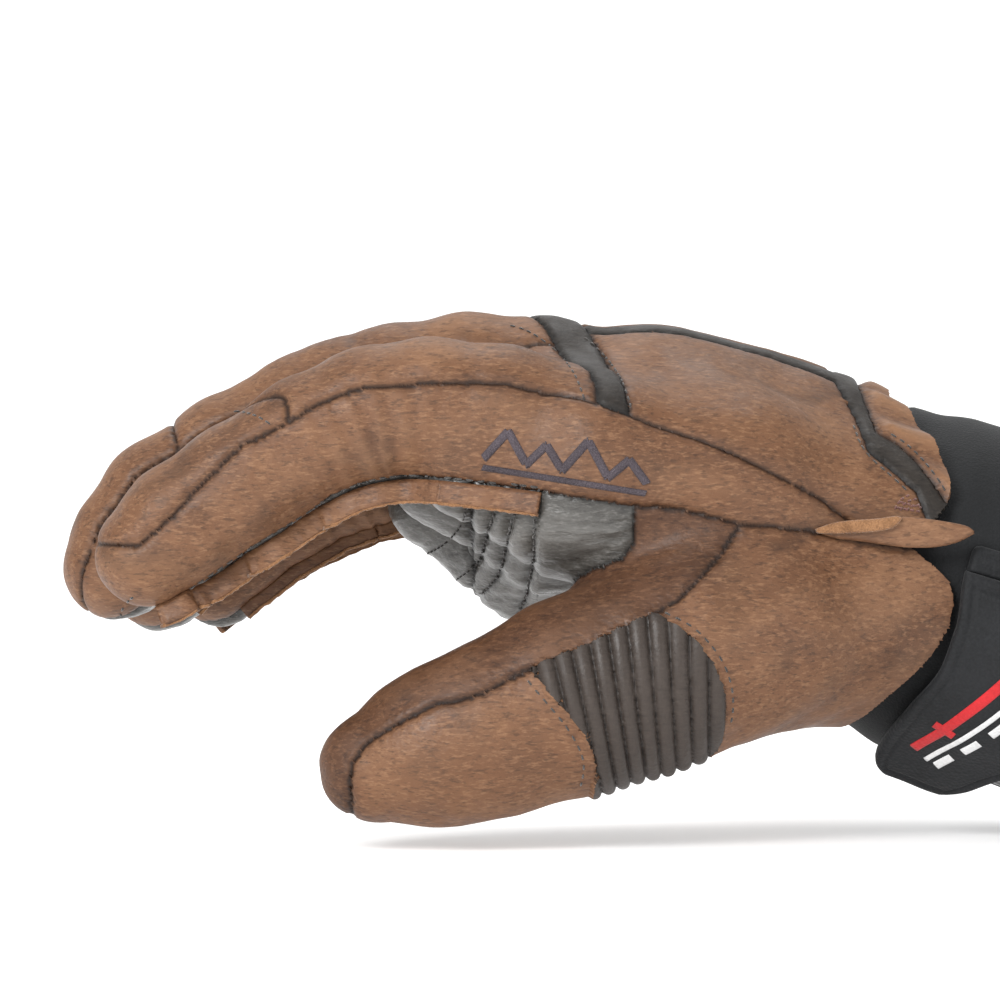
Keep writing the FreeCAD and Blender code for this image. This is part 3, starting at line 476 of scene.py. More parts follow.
do_cut("lo", lambda A, F: (mean(A, F, "th") < 0) | (P[F].mean(1)[:, 0] > 30))
do_cut("th", lambda A, F: mean(A, F, "lo") <= 0)
is_thumb = lambda A, F: (mean(A, F, "th") > 0) & (mean(A, F, "lo") <= 0)
do_cut("up", lambda A, F: ~is_thumb(A, F))
do_cut("tb", is_thumb)
low_thumb = lambda A, F: is_thumb(A, F) & (mean(A, F, "tb") < 0)
do_cut("rl", low_thumb)
do_cut("rr", low_thumb)
dorsal = lambda A, F: (mean(A, F, "up") > 0) & ~is_thumb(A, F)
do_cut("kx0", dorsal)
do_cut("kx1", dorsal)
do_cut("cap", lambda A, F: dorsal(A, F) & (mean(A, F, "kx0") < 0))
behind = lambda A, F: dorsal(A, F) & (mean(A, F, "kx1") > 0)
do_cut("wr0", behind)
do_cut("wr1", lambda A, F: behind(A, F) & (mean(A, F, "wr0") > 0))
do_cut("sx0", lambda A, F: behind(A, F) & (mean(A, F, "wr0") < 0))
do_cut("sx1", lambda A, F: behind(A, F) & (mean(A, F, "wr0") < 0))
ventral = lambda A, F: (mean(A, F, "lo") <= 0) & ~is_thumb(A, F)
do_cut("heel", ventral)
fingers = lambda A, F: (mean(A, F, "zr") < 4) & ~((mean(A, F, "th") > 0))
do_cut("zr", lambda A, F: ~is_thumb(A, F))
front = lambda A, F: (mean(A, F, "zr") < 0) & ~is_thumb(A, F)
for b in ("b0", "b1", "b2"):
    do_cut(b, lambda A, F: front(A, F) & (P[F].mean(1)[:, 0] > WEB - 3))
do_cut("z1", front)
do_cut("t1", is_thumb)
do_cut("t0", is_thumb)

# ------------------------------------------------------------------ which panel and zone each face belongs to
c = {n: mean(A, F, n) for n in NAMES}
C = P[F].mean(1)
T = (c["th"] > 0) & (c["lo"] <= 0)
D = (c["up"] > 0) & ~T
M = (c["up"] <= 0) & (c["lo"] > 0) & ~T
U = ~T & ~D & ~M
near = C[:, 1] < -8
slab = np.select([C[:, 1] < SLITS[0], C[:, 1] < SLITS[1], C[:, 1] < SLITS[2]], [0, 1, 2], 3)
panel = np.full(len(F), "palm_panel", dtype=object)
FN = list(FING)
inner_side = np.zeros(len(F), bool)
for i, n in enumerate(FN):
    own = (slab == i) & (C[:, 0] < WEB + 1.5)
    panel[D & own] = n + "_back"
    panel[D & own & (c["cap"] < 0)] = n + "_cap"
    side = M & own
    panel[side] = n + "_gusset"
    if n == "index":
        panel[side & (C[:, 1] < -40)] = "side_panel"
    if n == "little":
        panel[side & (C[:, 1] > 37.7)] = "heel_panel"
    panel[D & (slab == i) & (C[:, 0] >= WEB + 1.5)] = n + "_back"
    panel[U & own] = n + "_palm"
panel[D & (c["kx0"] > 0)] = "knuckle_strip"
back = D & (c["kx1"] > 0)
panel[back] = "back_panel"
panel[back & (c["sx0"] > 0)] = "wrist_strip"
panel[back & (c["sx1"] > 0)] = "outer_back_panel"
panel[back & (c["wr0"] > 0)] = "wrist_strip"
panel[back & (c["wr0"] > 0) & (c["wr1"] > 0)] = "gather_panel"
hs = M & (C[:, 0] >= WEB + 1.5)
panel[hs & near] = "side_panel"
panel[hs & ~near] = "heel_panel"
hu = U & (C[:, 0] >= WEB + 1.5)
panel[hu & (c["heel"] > 0)] = "heel_panel"
panel[T & (c["tb"] >= 0)] = "thumb_palm_side"
panel[T & (c["tb"] < 0)] = "thumb_rib_panel"
panel[T & (c["tb"] < 0) & (c["rl"] < 0)] = "thumb_tip_panel"
panel[T & (c["tb"] < 0) & (c["rr"] > 0)] = "thenar_panel"

zone = np.full(len(F), "hand", dtype=object)
for i, n in enumerate(FN):
    m = ~T & (slab == i) & (c["zr"] < 0)
    zone[m] = n + "_base"
    zone[m & (c["z1"] < 0)] = n + "_end"
zone[T & (c["t0"] < 0)] = "thumb_base"
zone[T & (c["t1"] < 0)] = "thumb_end"

def split_faces(mask):
    """Each marked triangle becomes four."""
    global P, A, F, panel, zone
    T = F[mask]
    e = np.sort(np.concatenate([T[:, [0, 1]], T[:, [1, 2]], T[:, [2, 0]]]), 1)
    k = e[:, 0] * (len(P) + 1) + e[:, 1]
    uk, first, inv = np.unique(k, return_index=True, return_inverse=True)
    ue = e[first]
    base = len(P)
    P = np.concatenate([P, (P[ue[:, 0]] + P[ue[:, 1]]) / 2])
    A = np.concatenate([A, (A[ue[:, 0]] + A[ue[:, 1]]) / 2])
    m = len(T)
    a, b, c_ = base + inv[:m], base + inv[m:2 * m], base + inv[2 * m:]
    new = np.concatenate([np.stack([T[:, 0], a, c_], 1), np.stack([a, T[:, 1], b], 1), np.stack([c_, b, T[:, 2]], 1), np.stack([a, b, c_], 1)])
    F = np.concatenate([F[~mask], new])
    panel = np.concatenate([panel[~mask], np.tile(panel[mask], 4)])
    zone = np.concatenate([zone[~mask], np.tile(zone[mask], 4)])


split_faces(panel == "thumb_rib_panel")
PANELS = sorted(set(panel))
T2 = np.isin(panel.astype(str), ["thumb_palm_side", "thumb_rib_panel", "thumb_tip_panel", "thenar_panel"])
pid = np.array([PANELS.index(p) for p in panel])
print("faces", len(F), "panels", len(PANELS), PANELS)


# ------------------------------------------------------------------ seams
def edges_of(F):
    e = np.concatenate([F[:, [0, 1]], F[:, [1, 2]], F[:, [2, 0]]])
    f = np.tile(np.arange(len(F)), 3)
    k = np.sort(e, 1)
    key = k[:, 0] * (len(P) + 1) + k[:, 1]
    order = np.argsort(key, kind="stable")
    return k[order], f[order], key[order]


E, EF, EK = edges_of(F)
same = EK[1:] == EK[:-1]
pair = np.where(same)[0]
seam = pair[pid[EF[pair]] != pid[EF[pair + 1]]]
SE = E[seam]
SP = np.stack([pid[EF[seam]], pid[EF[seam + 1]]], 1)
SZ = zone[EF[seam]]
tree_pts = np.concatenate([P[SE[:, 0]] * (1 - t) + P[SE[:, 1]] * t for t in (0, 0.33, 0.67, 1)])
kd = kdtree.KDTree(len(tree_pts))
for i, p in enumerate(tree_pts):
    kd.insert(p, i)
kd.balance()
used = np.unique(F)
seam_d = np.full(len(P), 9.0)
for i in used:
    seam_d[i] = kd.find(P[i])[2]


def vnormals(P, F):
    n = np.cross(P[F[:, 1]] - P[F[:, 0]], P[F[:, 2]] - P[F[:, 0]])
    out = np.zeros_like(P)
    for k in range(3):
        np.add.at(out, F[:, k], n)
    return out / np.maximum(np.linalg.norm(out, axis=1), 1e-9)[:, None]


N = vnormals(P, F)
g = gradient(body_field, P[used])
if (N[used] * g).sum(1).mean() < 0:
    F = F[:, ::-1].copy()
    N = -N
# ------------------------------------------------------------------ leather relief
X, Y, Z = P.T
pv = np.zeros(len(P), int)
for k in range(3):
    pv[F[:, k]] = pid
pal = np.isin(pv, [i for i, n in enumerate(PANELS) if n in ("palm_panel",) or n.endswith("_palm")])
disp = -0.7 * np.exp(-(seam_d / 0.65) ** 2) + 0.4 * (1 - np.exp(-seam_d / 3.0))
disp += 0.3 * noise(P, (22, 16, 16), 1) + 0.22 * noise(P, (7, 5, 5), 2) * smooth(0.5, 3, seam_d)
# long soft folds across each finger where it bends
for n, f in FING.items():
    c0 = (X < WEB + 6) & (np.abs(Y - f["y"]) < 13.5)
    q = np.hypot(X - PIP[n][0], (Z - PIP[n][1]) * 0.6)
    arc, ang = finger_coords(P[c0], f)
    w = np.exp(-(q[c0] / 12.0) ** 2)
    disp[c0] += w * 0.34 * np.cos(arc * 1.15 + 1.3 * noise(P[c0], 9, 5)) * (0.35 + 0.65 * smooth(0.8, 2.4, np.abs(ang)))
# palm: stretched wrinkles square to the quilting lines, and soft dents
V2 = view_of(P)
PALM_LINES = [
    [(540, 486), (536, 505), (533, 562), (526.6, 597), (519, 612)],
    [(518, 484), (514, 506.7), (506.7, 543.5), (502, 565), (496, 580), (482, 594)],
    [(499, 482), (496, 506.7), (487, 534), (480.7, 558.8), (473, 568), (455, 581)],
    [(470, 484), (467, 508), (461, 526.6), (453, 535.8), (442.5, 546.5), (415, 559)],
]
line_d = np.full(len(P), 9.0)
for pl in PALM_LINES:
    q = np.abs(mm(P, line_field(V2, pl)))
    ends = (V2[:, 1] < pl[0][1] - 4) | (V2[:, 1] > pl[-1][1] + 40)
    q[ends] = 9.0
    line_d = np.minimum(line_d, q)
in_palm = pv == PANELS.index("palm_panel")
wr = 0.55 * noise(P, (9, 5, 2.3), 3) + 0.38 * noise(P, (5, 3, 1.5), 4)
soft = 1.3 * noise(P, (17, 14, 10), 9)
disp += np.where(pal, (wr + soft) * smooth(0.4, 2.6, seam_d), 0)
disp += np.where(in_palm, -0.8 * np.exp(-(line_d / 0.75) ** 2) + 0.35 * np.exp(-((line_d - 2.6) / 1.6) ** 2), 0)
# gathers at the wrist
gat = pv == PANELS.index("gather_panel")
disp += np.where(gat, 0.75 * np.sin((Y * 0.75 + 0.25 * Z) * 0.62 + 1.3 * noise(P, 14, 8)) * smooth(0.3, 2.5, seam_d) + 0.6 * smooth(0.3, 3, seam_d), 0)
# ribs over the thumb's joint: padded tubes with narrow grooves between them
ribs = pv == PANELS.index("thumb_rib_panel")
rk = (V2[:, 0] - (549 + 0.25 * (V2[:, 1] - 640))) / (20 - (V2[:, 1] - 640) * 0.0323)
rf = rk - np.floor(rk)
tube = np.sqrt(np.clip(1 - (2 * rf - 1) ** 2, 0, 1))
disp += np.where(ribs, (1.75 * tube - 0.75) * smooth(0.0, 0.8, seam_d), 0)
# rib_shade: painted shade in the narrow grooves between the tubes, fed into the leather's seam darkening
rib_shade = np.where(ribs, np.exp(-(np.minimum(rf, 1 - rf) / 0.07) ** 2), 0)
# folds running into the crotch of the thumb and over the ball of the thumb
tz = (pv == PANELS.index("thumb_palm_side")) | (pv == PANELS.index("thenar_panel"))
disp += np.where(tz, 0.75 * noise(P @ np.array([[0.9, 0, -0.43], [0, 1, 0], [0.43, 0, 0.9]]), (22, 9, 7), 12) * smooth(0.3, 4, seam_d), 0)
# the long side panel pulls into shallow folds toward the palm
sp = pv == PANELS.index("side_panel")
disp += np.where(sp, 0.5 * noise(P @ np.array([[0.95, 0, 0.3], [0, 1, 0], [-0.3, 0, 0.95]]), (20, 9, 6), 13) * smooth(0.3, 4, seam_d), 0)
Pd = P + N * disp[:, None]
Nd = vnormals(Pd, F)
WALL = 1.15


# ------------------------------------------------------------------ objects from arrays
def mesh_object(name, V, tris, quads=(), smooth_on=True, sharp=None, attrs=None, metres=False):
    V = np.asarray(V, float)
    W = V if metres else row(V)
    tris = np.asarray(tris, np.int64).reshape(-1, 3)
    quads = np.asarray(quads, np.int64).reshape(-1, 4)
    me = bpy.data.meshes.new(name)
    me.vertices.add(len(W))
    me.vertices.foreach_set("co", W.astype(np.float32).ravel())
    loops = np.concatenate([tris.ravel(), quads.ravel()])
    me.loops.add(len(loops))
    me.loops.foreach_set("vertex_index", loops.astype(np.int32))
    starts = np.concatenate([np.arange(len(tris)) * 3, len(tris) * 3 + np.arange(len(quads)) * 4])
    totals = np.concatenate([np.full(len(tris), 3), np.full(len(quads), 4)])
    me.polygons.add(len(starts))
    me.polygons.foreach_set("loop_start", starts.astype(np.int32))
    me.polygons.foreach_set("loop_total", totals.astype(np.int32))
    me.polygons.foreach_set("use_smooth", np.full(len(starts), smooth_on))
    me.update(calc_edges=True)
    for k, v in (attrs or {}).items():
        a = me.attributes.new(k, "FLOAT", "POINT")
        a.data.foreach_set("value", np.asarray(v, np.float32))
    if sharp is not None and len(sharp):
        n = len(me.edges)
        ev = np.empty(n * 2, np.int32)
        me.edges.foreach_get("vertices", ev)
        ev = np.sort(ev.reshape(-1, 2).astype(np.int64), 1)
        s = np.sort(np.asarray(sharp, np.int64), 1)
        hit = np.isin(ev[:, 0] * (len(W) + 1) + ev[:, 1], s[:, 0] * (len(W) + 1) + s[:, 1])
        a = me.attributes.new("sharp_edge", "BOOLEAN", "EDGE")
        a.data.foreach_set("value", hit)
    me.validate(clean_customdata=False)
    ob = bpy.data.objects.new(name, me)
    scene.collection.objects.link(ob)
    return ob


def shell_arrays(V, Nn, F, wall):
    """A closed sheet of the given thickness under the outer surface F."""
    u, inv = np.unique(F, return_inverse=True)
    f = inv.reshape(F.shape)
    n = len(u)
    outer, inner = V[u], V[u] - Nn[u] * (wall if np.isscalar(wall) else wall[u][:, None])
    e = np.concatenate([f[:, [0, 1]], f[:, [1, 2]], f[:, [2, 0]]])
    k = np.sort(e, 1)
    key = k[:, 0] * (n + 1) + k[:, 1]
    uk, cnt = np.unique(key, return_counts=True)
    rim = e[np.isin(key, uk[cnt == 1])]
    quads = np.stack([rim[:, 1], rim[:, 0], rim[:, 0] + n, rim[:, 1] + n], 1)
    tris = np.concatenate([f, f[:, ::-1] + n])
    sharp = np.concatenate([rim, rim + n])
    return np.concatenate([outer, inner]), tris, quads, sharp, u


# ------------------------------------------------------------------ materials
def nt(name):
    m = bpy.data.materials.new(name)
    m.use_nodes = True
    t = m.node_tree
    for n in list(t.nodes):
        t.nodes.remove(n)
    out = t.nodes.new("ShaderNodeOutputMaterial")
    bs = t.nodes.new("ShaderNodeBsdfPrincipled")
    t.links.new(bs.outputs[0], out.inputs[0])
    return m, t, bs


def nd(t, kind, ins=None, **props):
    n = t.nodes.new(kind)
    for k, v in props.items():
        setattr(n, k, v)
    for k, v in (ins or {}).items():
        if isinstance(v, bpy.types.NodeSocket):
            t.links.new(v, n.inputs[k])
        else:
            n.inputs[k].default_value = v
    return n


def ramp(t, fac, stops):
    r = t.nodes.new("ShaderNodeValToRGB")
    t.links.new(fac, r.inputs[0])
    el = r.color_ramp.elements
    while len(el) > 1:
        el.remove(el[-1])
    el[0].position, el[0].color = stops[0][0], (*stops[0][1], 1) if len(stops[0][1]) == 3 else stops[0][1]
    for p, c in stops[1:]:
        x = el.new(p)
        x.color = (*c, 1)
    return r.outputs[0]


def coords(t):
    return nd(t, "ShaderNodeTexCoord").outputs["Object"]


def noise_node(t, vec, scale, detail=3.0, rough=0.55, dist=0.0):
    return nd(t, "ShaderNodeTexNoise", {"Vector": vec, "Scale": scale, "Detail": detail, "Roughness": rough, "Distortion": dist}).outputs[0]


def mix(t, fac, a, b, kind="MIX"):
    n = nd(t, "ShaderNodeMix", data_type="RGBA", blend_type=kind)
    for s, v in ((0, fac), (6, a), (7, b)):
        if isinstance(v, bpy.types.NodeSocket):
            t.links.new(v, n.inputs[s])
        elif s == 0:
            n.inputs[0].default_value = v
        else:
            n.inputs[s].default_value = (*v, 1)
    return n.outputs[2]


def math_node(t, op, a, b=0.0, c=0.0):
    n = nd(t, "ShaderNodeMath", operation=op)
    for i, v in enumerate((a, b, c)):
        if isinstance(v, bpy.types.NodeSocket):
            t.links.new(v, n.inputs[i])
        else:
            n.inputs[i].default_value = v
    return n.outputs[0]


def leather(name, dark, mid, light, rough=(0.42, 0.62), grain=900.0, bump=0.3, crease=0.35, patch=0.5, stretch=(1.0, 1.0, 1.0), spec=0.3):
    """Waxed leather: broad soft patches, short hair-like streaks, fine pores, dark seams, painted shade in the grooves
    between the thumb's ribs, a painted highlight on raised ridges and painted shade in low creases.
    """
    m, t, bs = nt(name)
    v = coords(t)
    big_n = noise_node(t, v, 26.0, 3.0, 0.55, 0.5)
    med = noise_node(t, v, 75.0, 4.0, 0.6, 0.3)
    vor = nd(t, "ShaderNodeTexVoronoi", {"Vector": v, "Scale": grain * 0.7}, feature="DISTANCE_TO_EDGE").outputs["Distance"]
    tone = math_node(t, "ADD", math_node(t, "MULTIPLY", big_n, 0.62), math_node(t, "MULTIPLY", med, 0.38))
    col = ramp(t, tone, [(0.30, tuple(0.5 * a + 0.5 * b for a, b in zip(dark, mid))), (0.5, mid), (0.70, tuple(0.45 * a + 0.55 * b for a, b in zip(light, mid)))])
    mp = nd(t, "ShaderNodeMapping", {"Vector": v, "Rotation": (0.0, 0.55, 0.2), "Scale": (420.0, 900.0, 1500.0)}, vector_type="POINT").outputs[0]
    st = noise_node(t, mp, 1.0, 2.0, 0.7)
    col = mix(t, ramp(t, st, [(0.50, (0, 0, 0)), (0.68, (0.42, 0.42, 0.42))]), col, light)
    mp2 = nd(t, "ShaderNodeMapping", {"Vector": v, "Location": (3.0, 1.0, 2.0), "Rotation": (0.0, 0.35, -0.3), "Scale": (380.0, 800.0, 1300.0)}, vector_type="POINT").outputs[0]
    st2 = noise_node(t, mp2, 1.0, 2.0, 0.7)
    col = mix(t, ramp(t, st2, [(0.32, (0.6, 0.6, 0.6)), (0.48, (0, 0, 0))]), col, dark)
    stain = noise_node(t, v, 55.0, 2.0, 0.45, 0.8)
    col = mix(t, ramp(t, stain, [(0.60, (0, 0, 0)), (0.74, (patch, patch, patch))]), col, dark)
    # the seam attribute carries real seam and stitch lines, and also painted shade in the grooves between the thumb's
    # ribs
    sd = nd(t, "ShaderNodeAttribute", attribute_name="seam").outputs["Fac"]
    edge = ramp(t, math_node(t, "DIVIDE", sd, 6.0), [(0.0, (0.92, 0.92, 0.92)), (0.05, (0.7, 0.7, 0.7)), (0.13, (0.15, 0.15, 0.15)), (0.4, (0, 0, 0))])
    col = mix(t, edge, col, tuple(x * 0.4 for x in dark))
    # painted highlight and painted shade: raised relief is mixed toward the light colour, and low creases and grooves
    # toward the dark colour
    hi = nd(t, "ShaderNodeAttribute", attribute_name="relief").outputs["Fac"]
    col = mix(t, ramp(t, hi, [(0.55, (0, 0, 0)), (0.95, (0.5, 0.5, 0.5))]), col, light)
    col = mix(t, ramp(t, hi, [(0.05, (0.5, 0.5, 0.5)), (0.42, (0, 0, 0))]), col, dark)
    t.links.new(col, bs.inputs["Base Color"])
    rg = ramp(t, med, [(0.35, (rough[0],) * 3), (0.65, (rough[1],) * 3)])
    t.links.new(rg, bs.inputs["Roughness"])
    b1 = nd(t, "ShaderNodeBump", {"Strength": bump, "Distance": 0.00025, "Height": vor})
    mp3 = nd(t, "ShaderNodeMapping", {"Vector": v, "Scale": tuple(260.0 * k for k in stretch)}, vector_type="POINT").outputs[0]
    wrk = noise_node(t, mp3, 1.0, 4.0, 0.6, 0.6)
    b2 = nd(t, "ShaderNodeBump", {"Strength": crease, "Distance": 0.0006, "Height": wrk, "Normal": b1.outputs[0]})
    b3 = nd(t, "ShaderNodeBump", {"Strength": bump, "Distance": 0.00015, "Height": st, "Normal": b2.outputs[0]})
    t.links.new(b3.outputs[0], bs.inputs["Normal"])
    bs.inputs["Specular IOR Level"].default_value = spec
    return m


def cloth(name, dark, light, scale=1400.0, rough=0.9, bump=0.5, sheen=0.4, big_scale=60.0, spec=0.25):
    m, t, bs = nt(name)
    v = coords(t)
    a = noise_node(t, v, scale, 2.0, 0.7)
    b = noise_node(t, v, big_scale, 3.0, 0.6)
    w = nd(t, "ShaderNodeTexVoronoi", {"Vector": v, "Scale": scale * 0.8}).outputs["Distance"]
    f = math_node(t, "ADD", math_node(t, "MULTIPLY", a, 0.5), math_node(t, "MULTIPLY", b, 0.5))
    t.links.new(ramp(t, f, [(0.35, dark), (0.65, light)]), bs.inputs["Base Color"])
    bs.inputs["Roughness"].default_value = rough
    bs.inputs["Sheen Weight"].default_value = sheen
    bs.inputs["Specular IOR Level"].default_value = spec
    t.links.new(nd(t, "ShaderNodeBump", {"Strength": bump, "Distance": 0.0004, "Height": w}).outputs[0], bs.inputs["Normal"])
    return m


MAT = {
    "tan": leather("tan_leather", (0.034, 0.0165, 0.010), (0.132, 0.060, 0.029), (0.30, 0.16, 0.084)),
    "tan_deep": leather("tan_leather_deep", (0.020, 0.0095, 0.006), (0.078, 0.034, 0.0165), (0.20, 0.10, 0.052)),
    "dark": leather("dark_leather", (0.009, 0.0075, 0.0065), (0.021, 0.017, 0.014), (0.05, 0.041, 0.034), (0.42, 0.64), 1100.0),
    "ribs": leather("rib_leather", (0.009, 0.007, 0.006), (0.030, 0.0225, 0.0185), (0.062, 0.048, 0.040), (0.38, 0.6), 1100.0),
    "grey": leather("palm_leather", (0.018, 0.0165, 0.0145), (0.064, 0.060, 0.054), (0.19, 0.182, 0.17), (0.26, 0.42), 800.0, 0.35, 0.55, 0.3, (0.55, 1.1, 2.6), 0.5),
    "raw": cloth("raw_edge", (0.15, 0.070, 0.030), (0.32, 0.165, 0.078), 2600.0, 0.95, 0.6, 0.2, 300.0),
    "neoprene": cloth("neoprene", (0.006, 0.0064, 0.007), (0.012, 0.0128, 0.014), 2200.0, 0.75, 0.3, 0.04),
    "strap": cloth("strap_face", (0.006, 0.0064, 0.007), (0.014, 0.0148, 0.0165), 1500.0, 0.7, 0.4, 0.04),
    "fleece": cloth("fleece", (0.014, 0.014, 0.016), (0.04, 0.04, 0.044), 520.0, 1.0, 1.0, 0.8),
    "tape": cloth("tape", (0.015, 0.015, 0.017), (0.035, 0.035, 0.038), 1900.0, 0.8, 0.5),
    "thread": cloth("thread", (0.022, 0.02, 0.019), (0.065, 0.058, 0.052), 3000.0, 0.6, 0.4),
    "tackthread": cloth("tack_thread", (0.09, 0.035, 0.03), (0.2, 0.085, 0.07), 3000.0, 0.6, 0.4),
    "motif": cloth("motif_thread", (0.034, 0.026, 0.031), (0.085, 0.068, 0.08), 3200.0, 0.45, 0.5, 0.1),
    "red": cloth("print_red", (0.36, 0.012, 0.015), (0.55, 0.02, 0.025), 1500.0, 0.55, 0.3, 0.1),
    "white": cloth("print_white", (0.5, 0.5, 0.5), (0.7, 0.7, 0.7), 1500.0, 0.55, 0.3, 0.1),
}
PANEL_MAT = {"palm_panel": "grey", "knuckle_strip": "dark", "wrist_strip": "dark", "thumb_rib_panel": "ribs", "thumb_palm_side": "tan_deep"}


def finish_piece(ob, mat, body):
    """body is one body, or (a, b, start, end) in layout millimetres for leather across a joint."""
    ob.data.materials.append(MAT[mat])
    if isinstance(body, tuple):
        tuple(row(body[2]))
        tuple(row(body[3]))
        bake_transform(ob)
    else:
        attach(ob, body)
    return ob


def bend_of(z):
    """Which body the leather in this zone sits on, or the two bodies and the two layout points of the joint that it
    spans.
    """
    if z == "hand":
        return "hand"
    part, k = z.rsplit("_", 1)
    if part == "thumb":
        if k == "base":
            return ("hand", "thumb_base", (62, -38, -29), (42, -45, -35))
        return ("thumb_base", "thumb_end", (34, -48, -39), (14, -51, -45))
    y = FING[part]["y"]
    if k == "base":
        a = MCP[part]
        return ("hand", part + "_base", (9, y, a[1]), (-13, y, a[1] + 2))
    j = np.array(PIP[part])
    pts = np.array([(p[0], p[1]) for p in FING[part]["pts"]])
    i = np.argmin(np.abs(pts[:, 0] - j[0]))
    d = (pts[min(i + 1, len(pts) - 1)] - pts[i - 1])
    d = d / np.hypot(*d)
    a, b = j - d * 10, j + d * 10
    return (part + "_base", part + "_end", (a[0], y, a[1]), (b[0], y, b[1]))


# height of the leather's relief; the leather material paints a highlight on its high parts and shade in its low parts
# from it
relief = np.clip(0.5 + 0.3 * disp, 0, 1)
# distance to seams and palm stitch lines for the seam darkening; in the rib panel it also carries painted shade in the
# grooves between the tubes
seam_and_rib_shade = np.minimum(seam_d, np.where(in_palm, line_d + 0.15, 9))
seam_and_rib_shade = np.where(ribs, np.minimum(seam_and_rib_shade, 0.2 + 2.6 * (1 - rib_shade)), seam_and_rib_shade)
MADE = {}
key = np.array([p + "|" + z for p, z in zip(panel, zone)])
for k in sorted(set(key)):
    p, z = k.split("|")
    sel = F[key == k]
    if len(sel) < 12:
        continue
    V, tr, qd, sh, u = shell_arrays(Pd, Nd, sel, WALL)
    at = {"seam": np.tile(np.minimum(seam_and_rib_shade[u], 6), 2), "relief": np.tile(relief[u], 2)}
    ob = mesh_object("leather_%s_%s" % (p, z), V, tr, qd, True, sh, at)
    mat = PANEL_MAT.get(p, "grey" if p.endswith("_palm") else "tan")
    finish_piece(ob, mat, bend_of(z))
    MADE.setdefault(p, []).append(ob)
print("panels", {k: len(v) for k, v in MADE.items()})


# ------------------------------------------------------------------ fleece lining, one piece for each zone
CUFF_S = [(-100.0, 34.5, 29.0), (-86.0, 35.5, 31.0), (-56.0, 40.0, 38.5), (0.0, 42.5, 41.0), (10.0, 42.9, 41.4)]
C17, S17 = math.cos(math.radians(17)), math.sin(math.radians(17))


def cuff_pt(s, deg, proud):
    """Point on the cuff: s along it from the mouth, deg round it (0 up, 90 thumb side), proud of its outer face."""
    s, deg, proud = np.broadcast_arrays(np.asarray(s, float), np.asarray(deg, float), np.asarray(proud, float))
    st = np.array(CUFF_S)
    ry, rz = np.interp(s, st[:, 0], st[:, 1]), np.interp(s, st[:, 0], st[:, 2])
    a = np.radians(deg)
    r = 1 / np.sqrt((np.sin(a) / ry) ** 2 + (np.cos(a) / rz) ** 2) + proud
    y, zl = -np.sin(a) * r, np.cos(a) * r
    return np.stack([152 + C17 * s + S17 * zl, y, -36 - S17 * s + C17 * zl], -1)


def cuff_s(Q):
    return (Q[:, 0] - 152) * C17 - (Q[:, 2] + 36) * S17


LIN = {}
fs = cuff_s(P[F].mean(1))
for z in sorted(set(zone)):
    sel = F[(zone == z) & (fs < -78)]
    V, tr, qd, sh, u = shell_arrays(P - N * 1.7, N, sel, 1.9)
    V += np.concatenate([N[u], N[u]]) * (0.25 * noise(V, 2.2, 21))[:, None]
    ob = mesh_object("fleece_" + z, V, tr, qd, True, sh)
    LIN[z] = finish_piece(ob, "fleece", bend_of(z))

# a pleat of leather folded in under the root of the thumb, which shows when the thumb swings open
CF = P[F].mean(1)
pl_mask = T2 & (CF[:, 0] > 4) & (CF[:, 0] < 70) & ((mean(A, F, "th") < 17) | ((mean(A, F, "lo") > -15) & (CF[:, 1] < -20)))
sel = F[pl_mask]
V, tr, qd, sh, u = shell_arrays(P - N * 2.5, N, sel, 1.0)
PLEAT = mesh_object("thumb_root_pleat", V, tr, qd, True, sh, {"seam": np.full(len(V), 4.0), "relief": np.full(len(V), 0.45)})
finish_piece(PLEAT, "grey", "hand")

# ------------------------------------------------------------------ cuff
def grid_value(Q):
    """The leather body's distance field at points, read from its grid."""
    q = (Q - ORIGIN) / H
    q = np.clip(q, 0, np.array(GRID.shape) - 1.001)
    i = q.astype(int)
    f = q - i
    out = 0.0
    for c_ in range(8):
        o = np.array([c_ & 1, (c_ >> 1) & 1, c_ >> 2])
        k = i + o
        out = out + GRID[k[:, 0], k[:, 1], k[:, 2]] * np.prod(np.where(o, f, 1 - f), axis=1)
    return out


_ls, _ld = np.arange(-104, -44, 1.5), np.arange(-180, 180, 3.0)
_S, _D = (x.ravel() for x in np.meshgrid(_ls, _ld, indexing="ij"))
_base = cuff_pt(_S, _D, 0)
_prd = np.arange(-14, 16, 0.5)
_best = np.full(len(_S), -14.0)
for _p in _prd:
    v_ = grid_value(cuff_pt(_S, _D, _p))
    _best = np.where(v_ < 0, _p, _best)
LEATHER_PROUD = _best.reshape(len(_ls), len(_ld))
for _ in range(2):
    LEATHER_PROUD = (np.roll(LEATHER_PROUD, 1, 1) + 2 * LEATHER_PROUD + np.roll(LEATHER_PROUD, -1, 1)) / 4


def leather_proud(SS, AA):
    """How far the leather's outer face stands from the cuff's own line."""
    d = (AA + 180.0) % 360.0 - 180.0
    fi = np.clip((SS - _ls[0]) / 1.5, 0, len(_ls) - 1.001)
    fj = (d - _ld[0]) / 3.0
    i, j = fi.astype(int), np.floor(fj).astype(int)
    u, v = fi - i, fj - j
    n = len(_ld)
    g = LEATHER_PROUD
    return (g[i, j % n] * (1 - u) + g[i + 1, j % n] * u) * (1 - v) + (g[i, (j + 1) % n] * (1 - u) + g[i + 1, (j + 1) % n] * u) * v


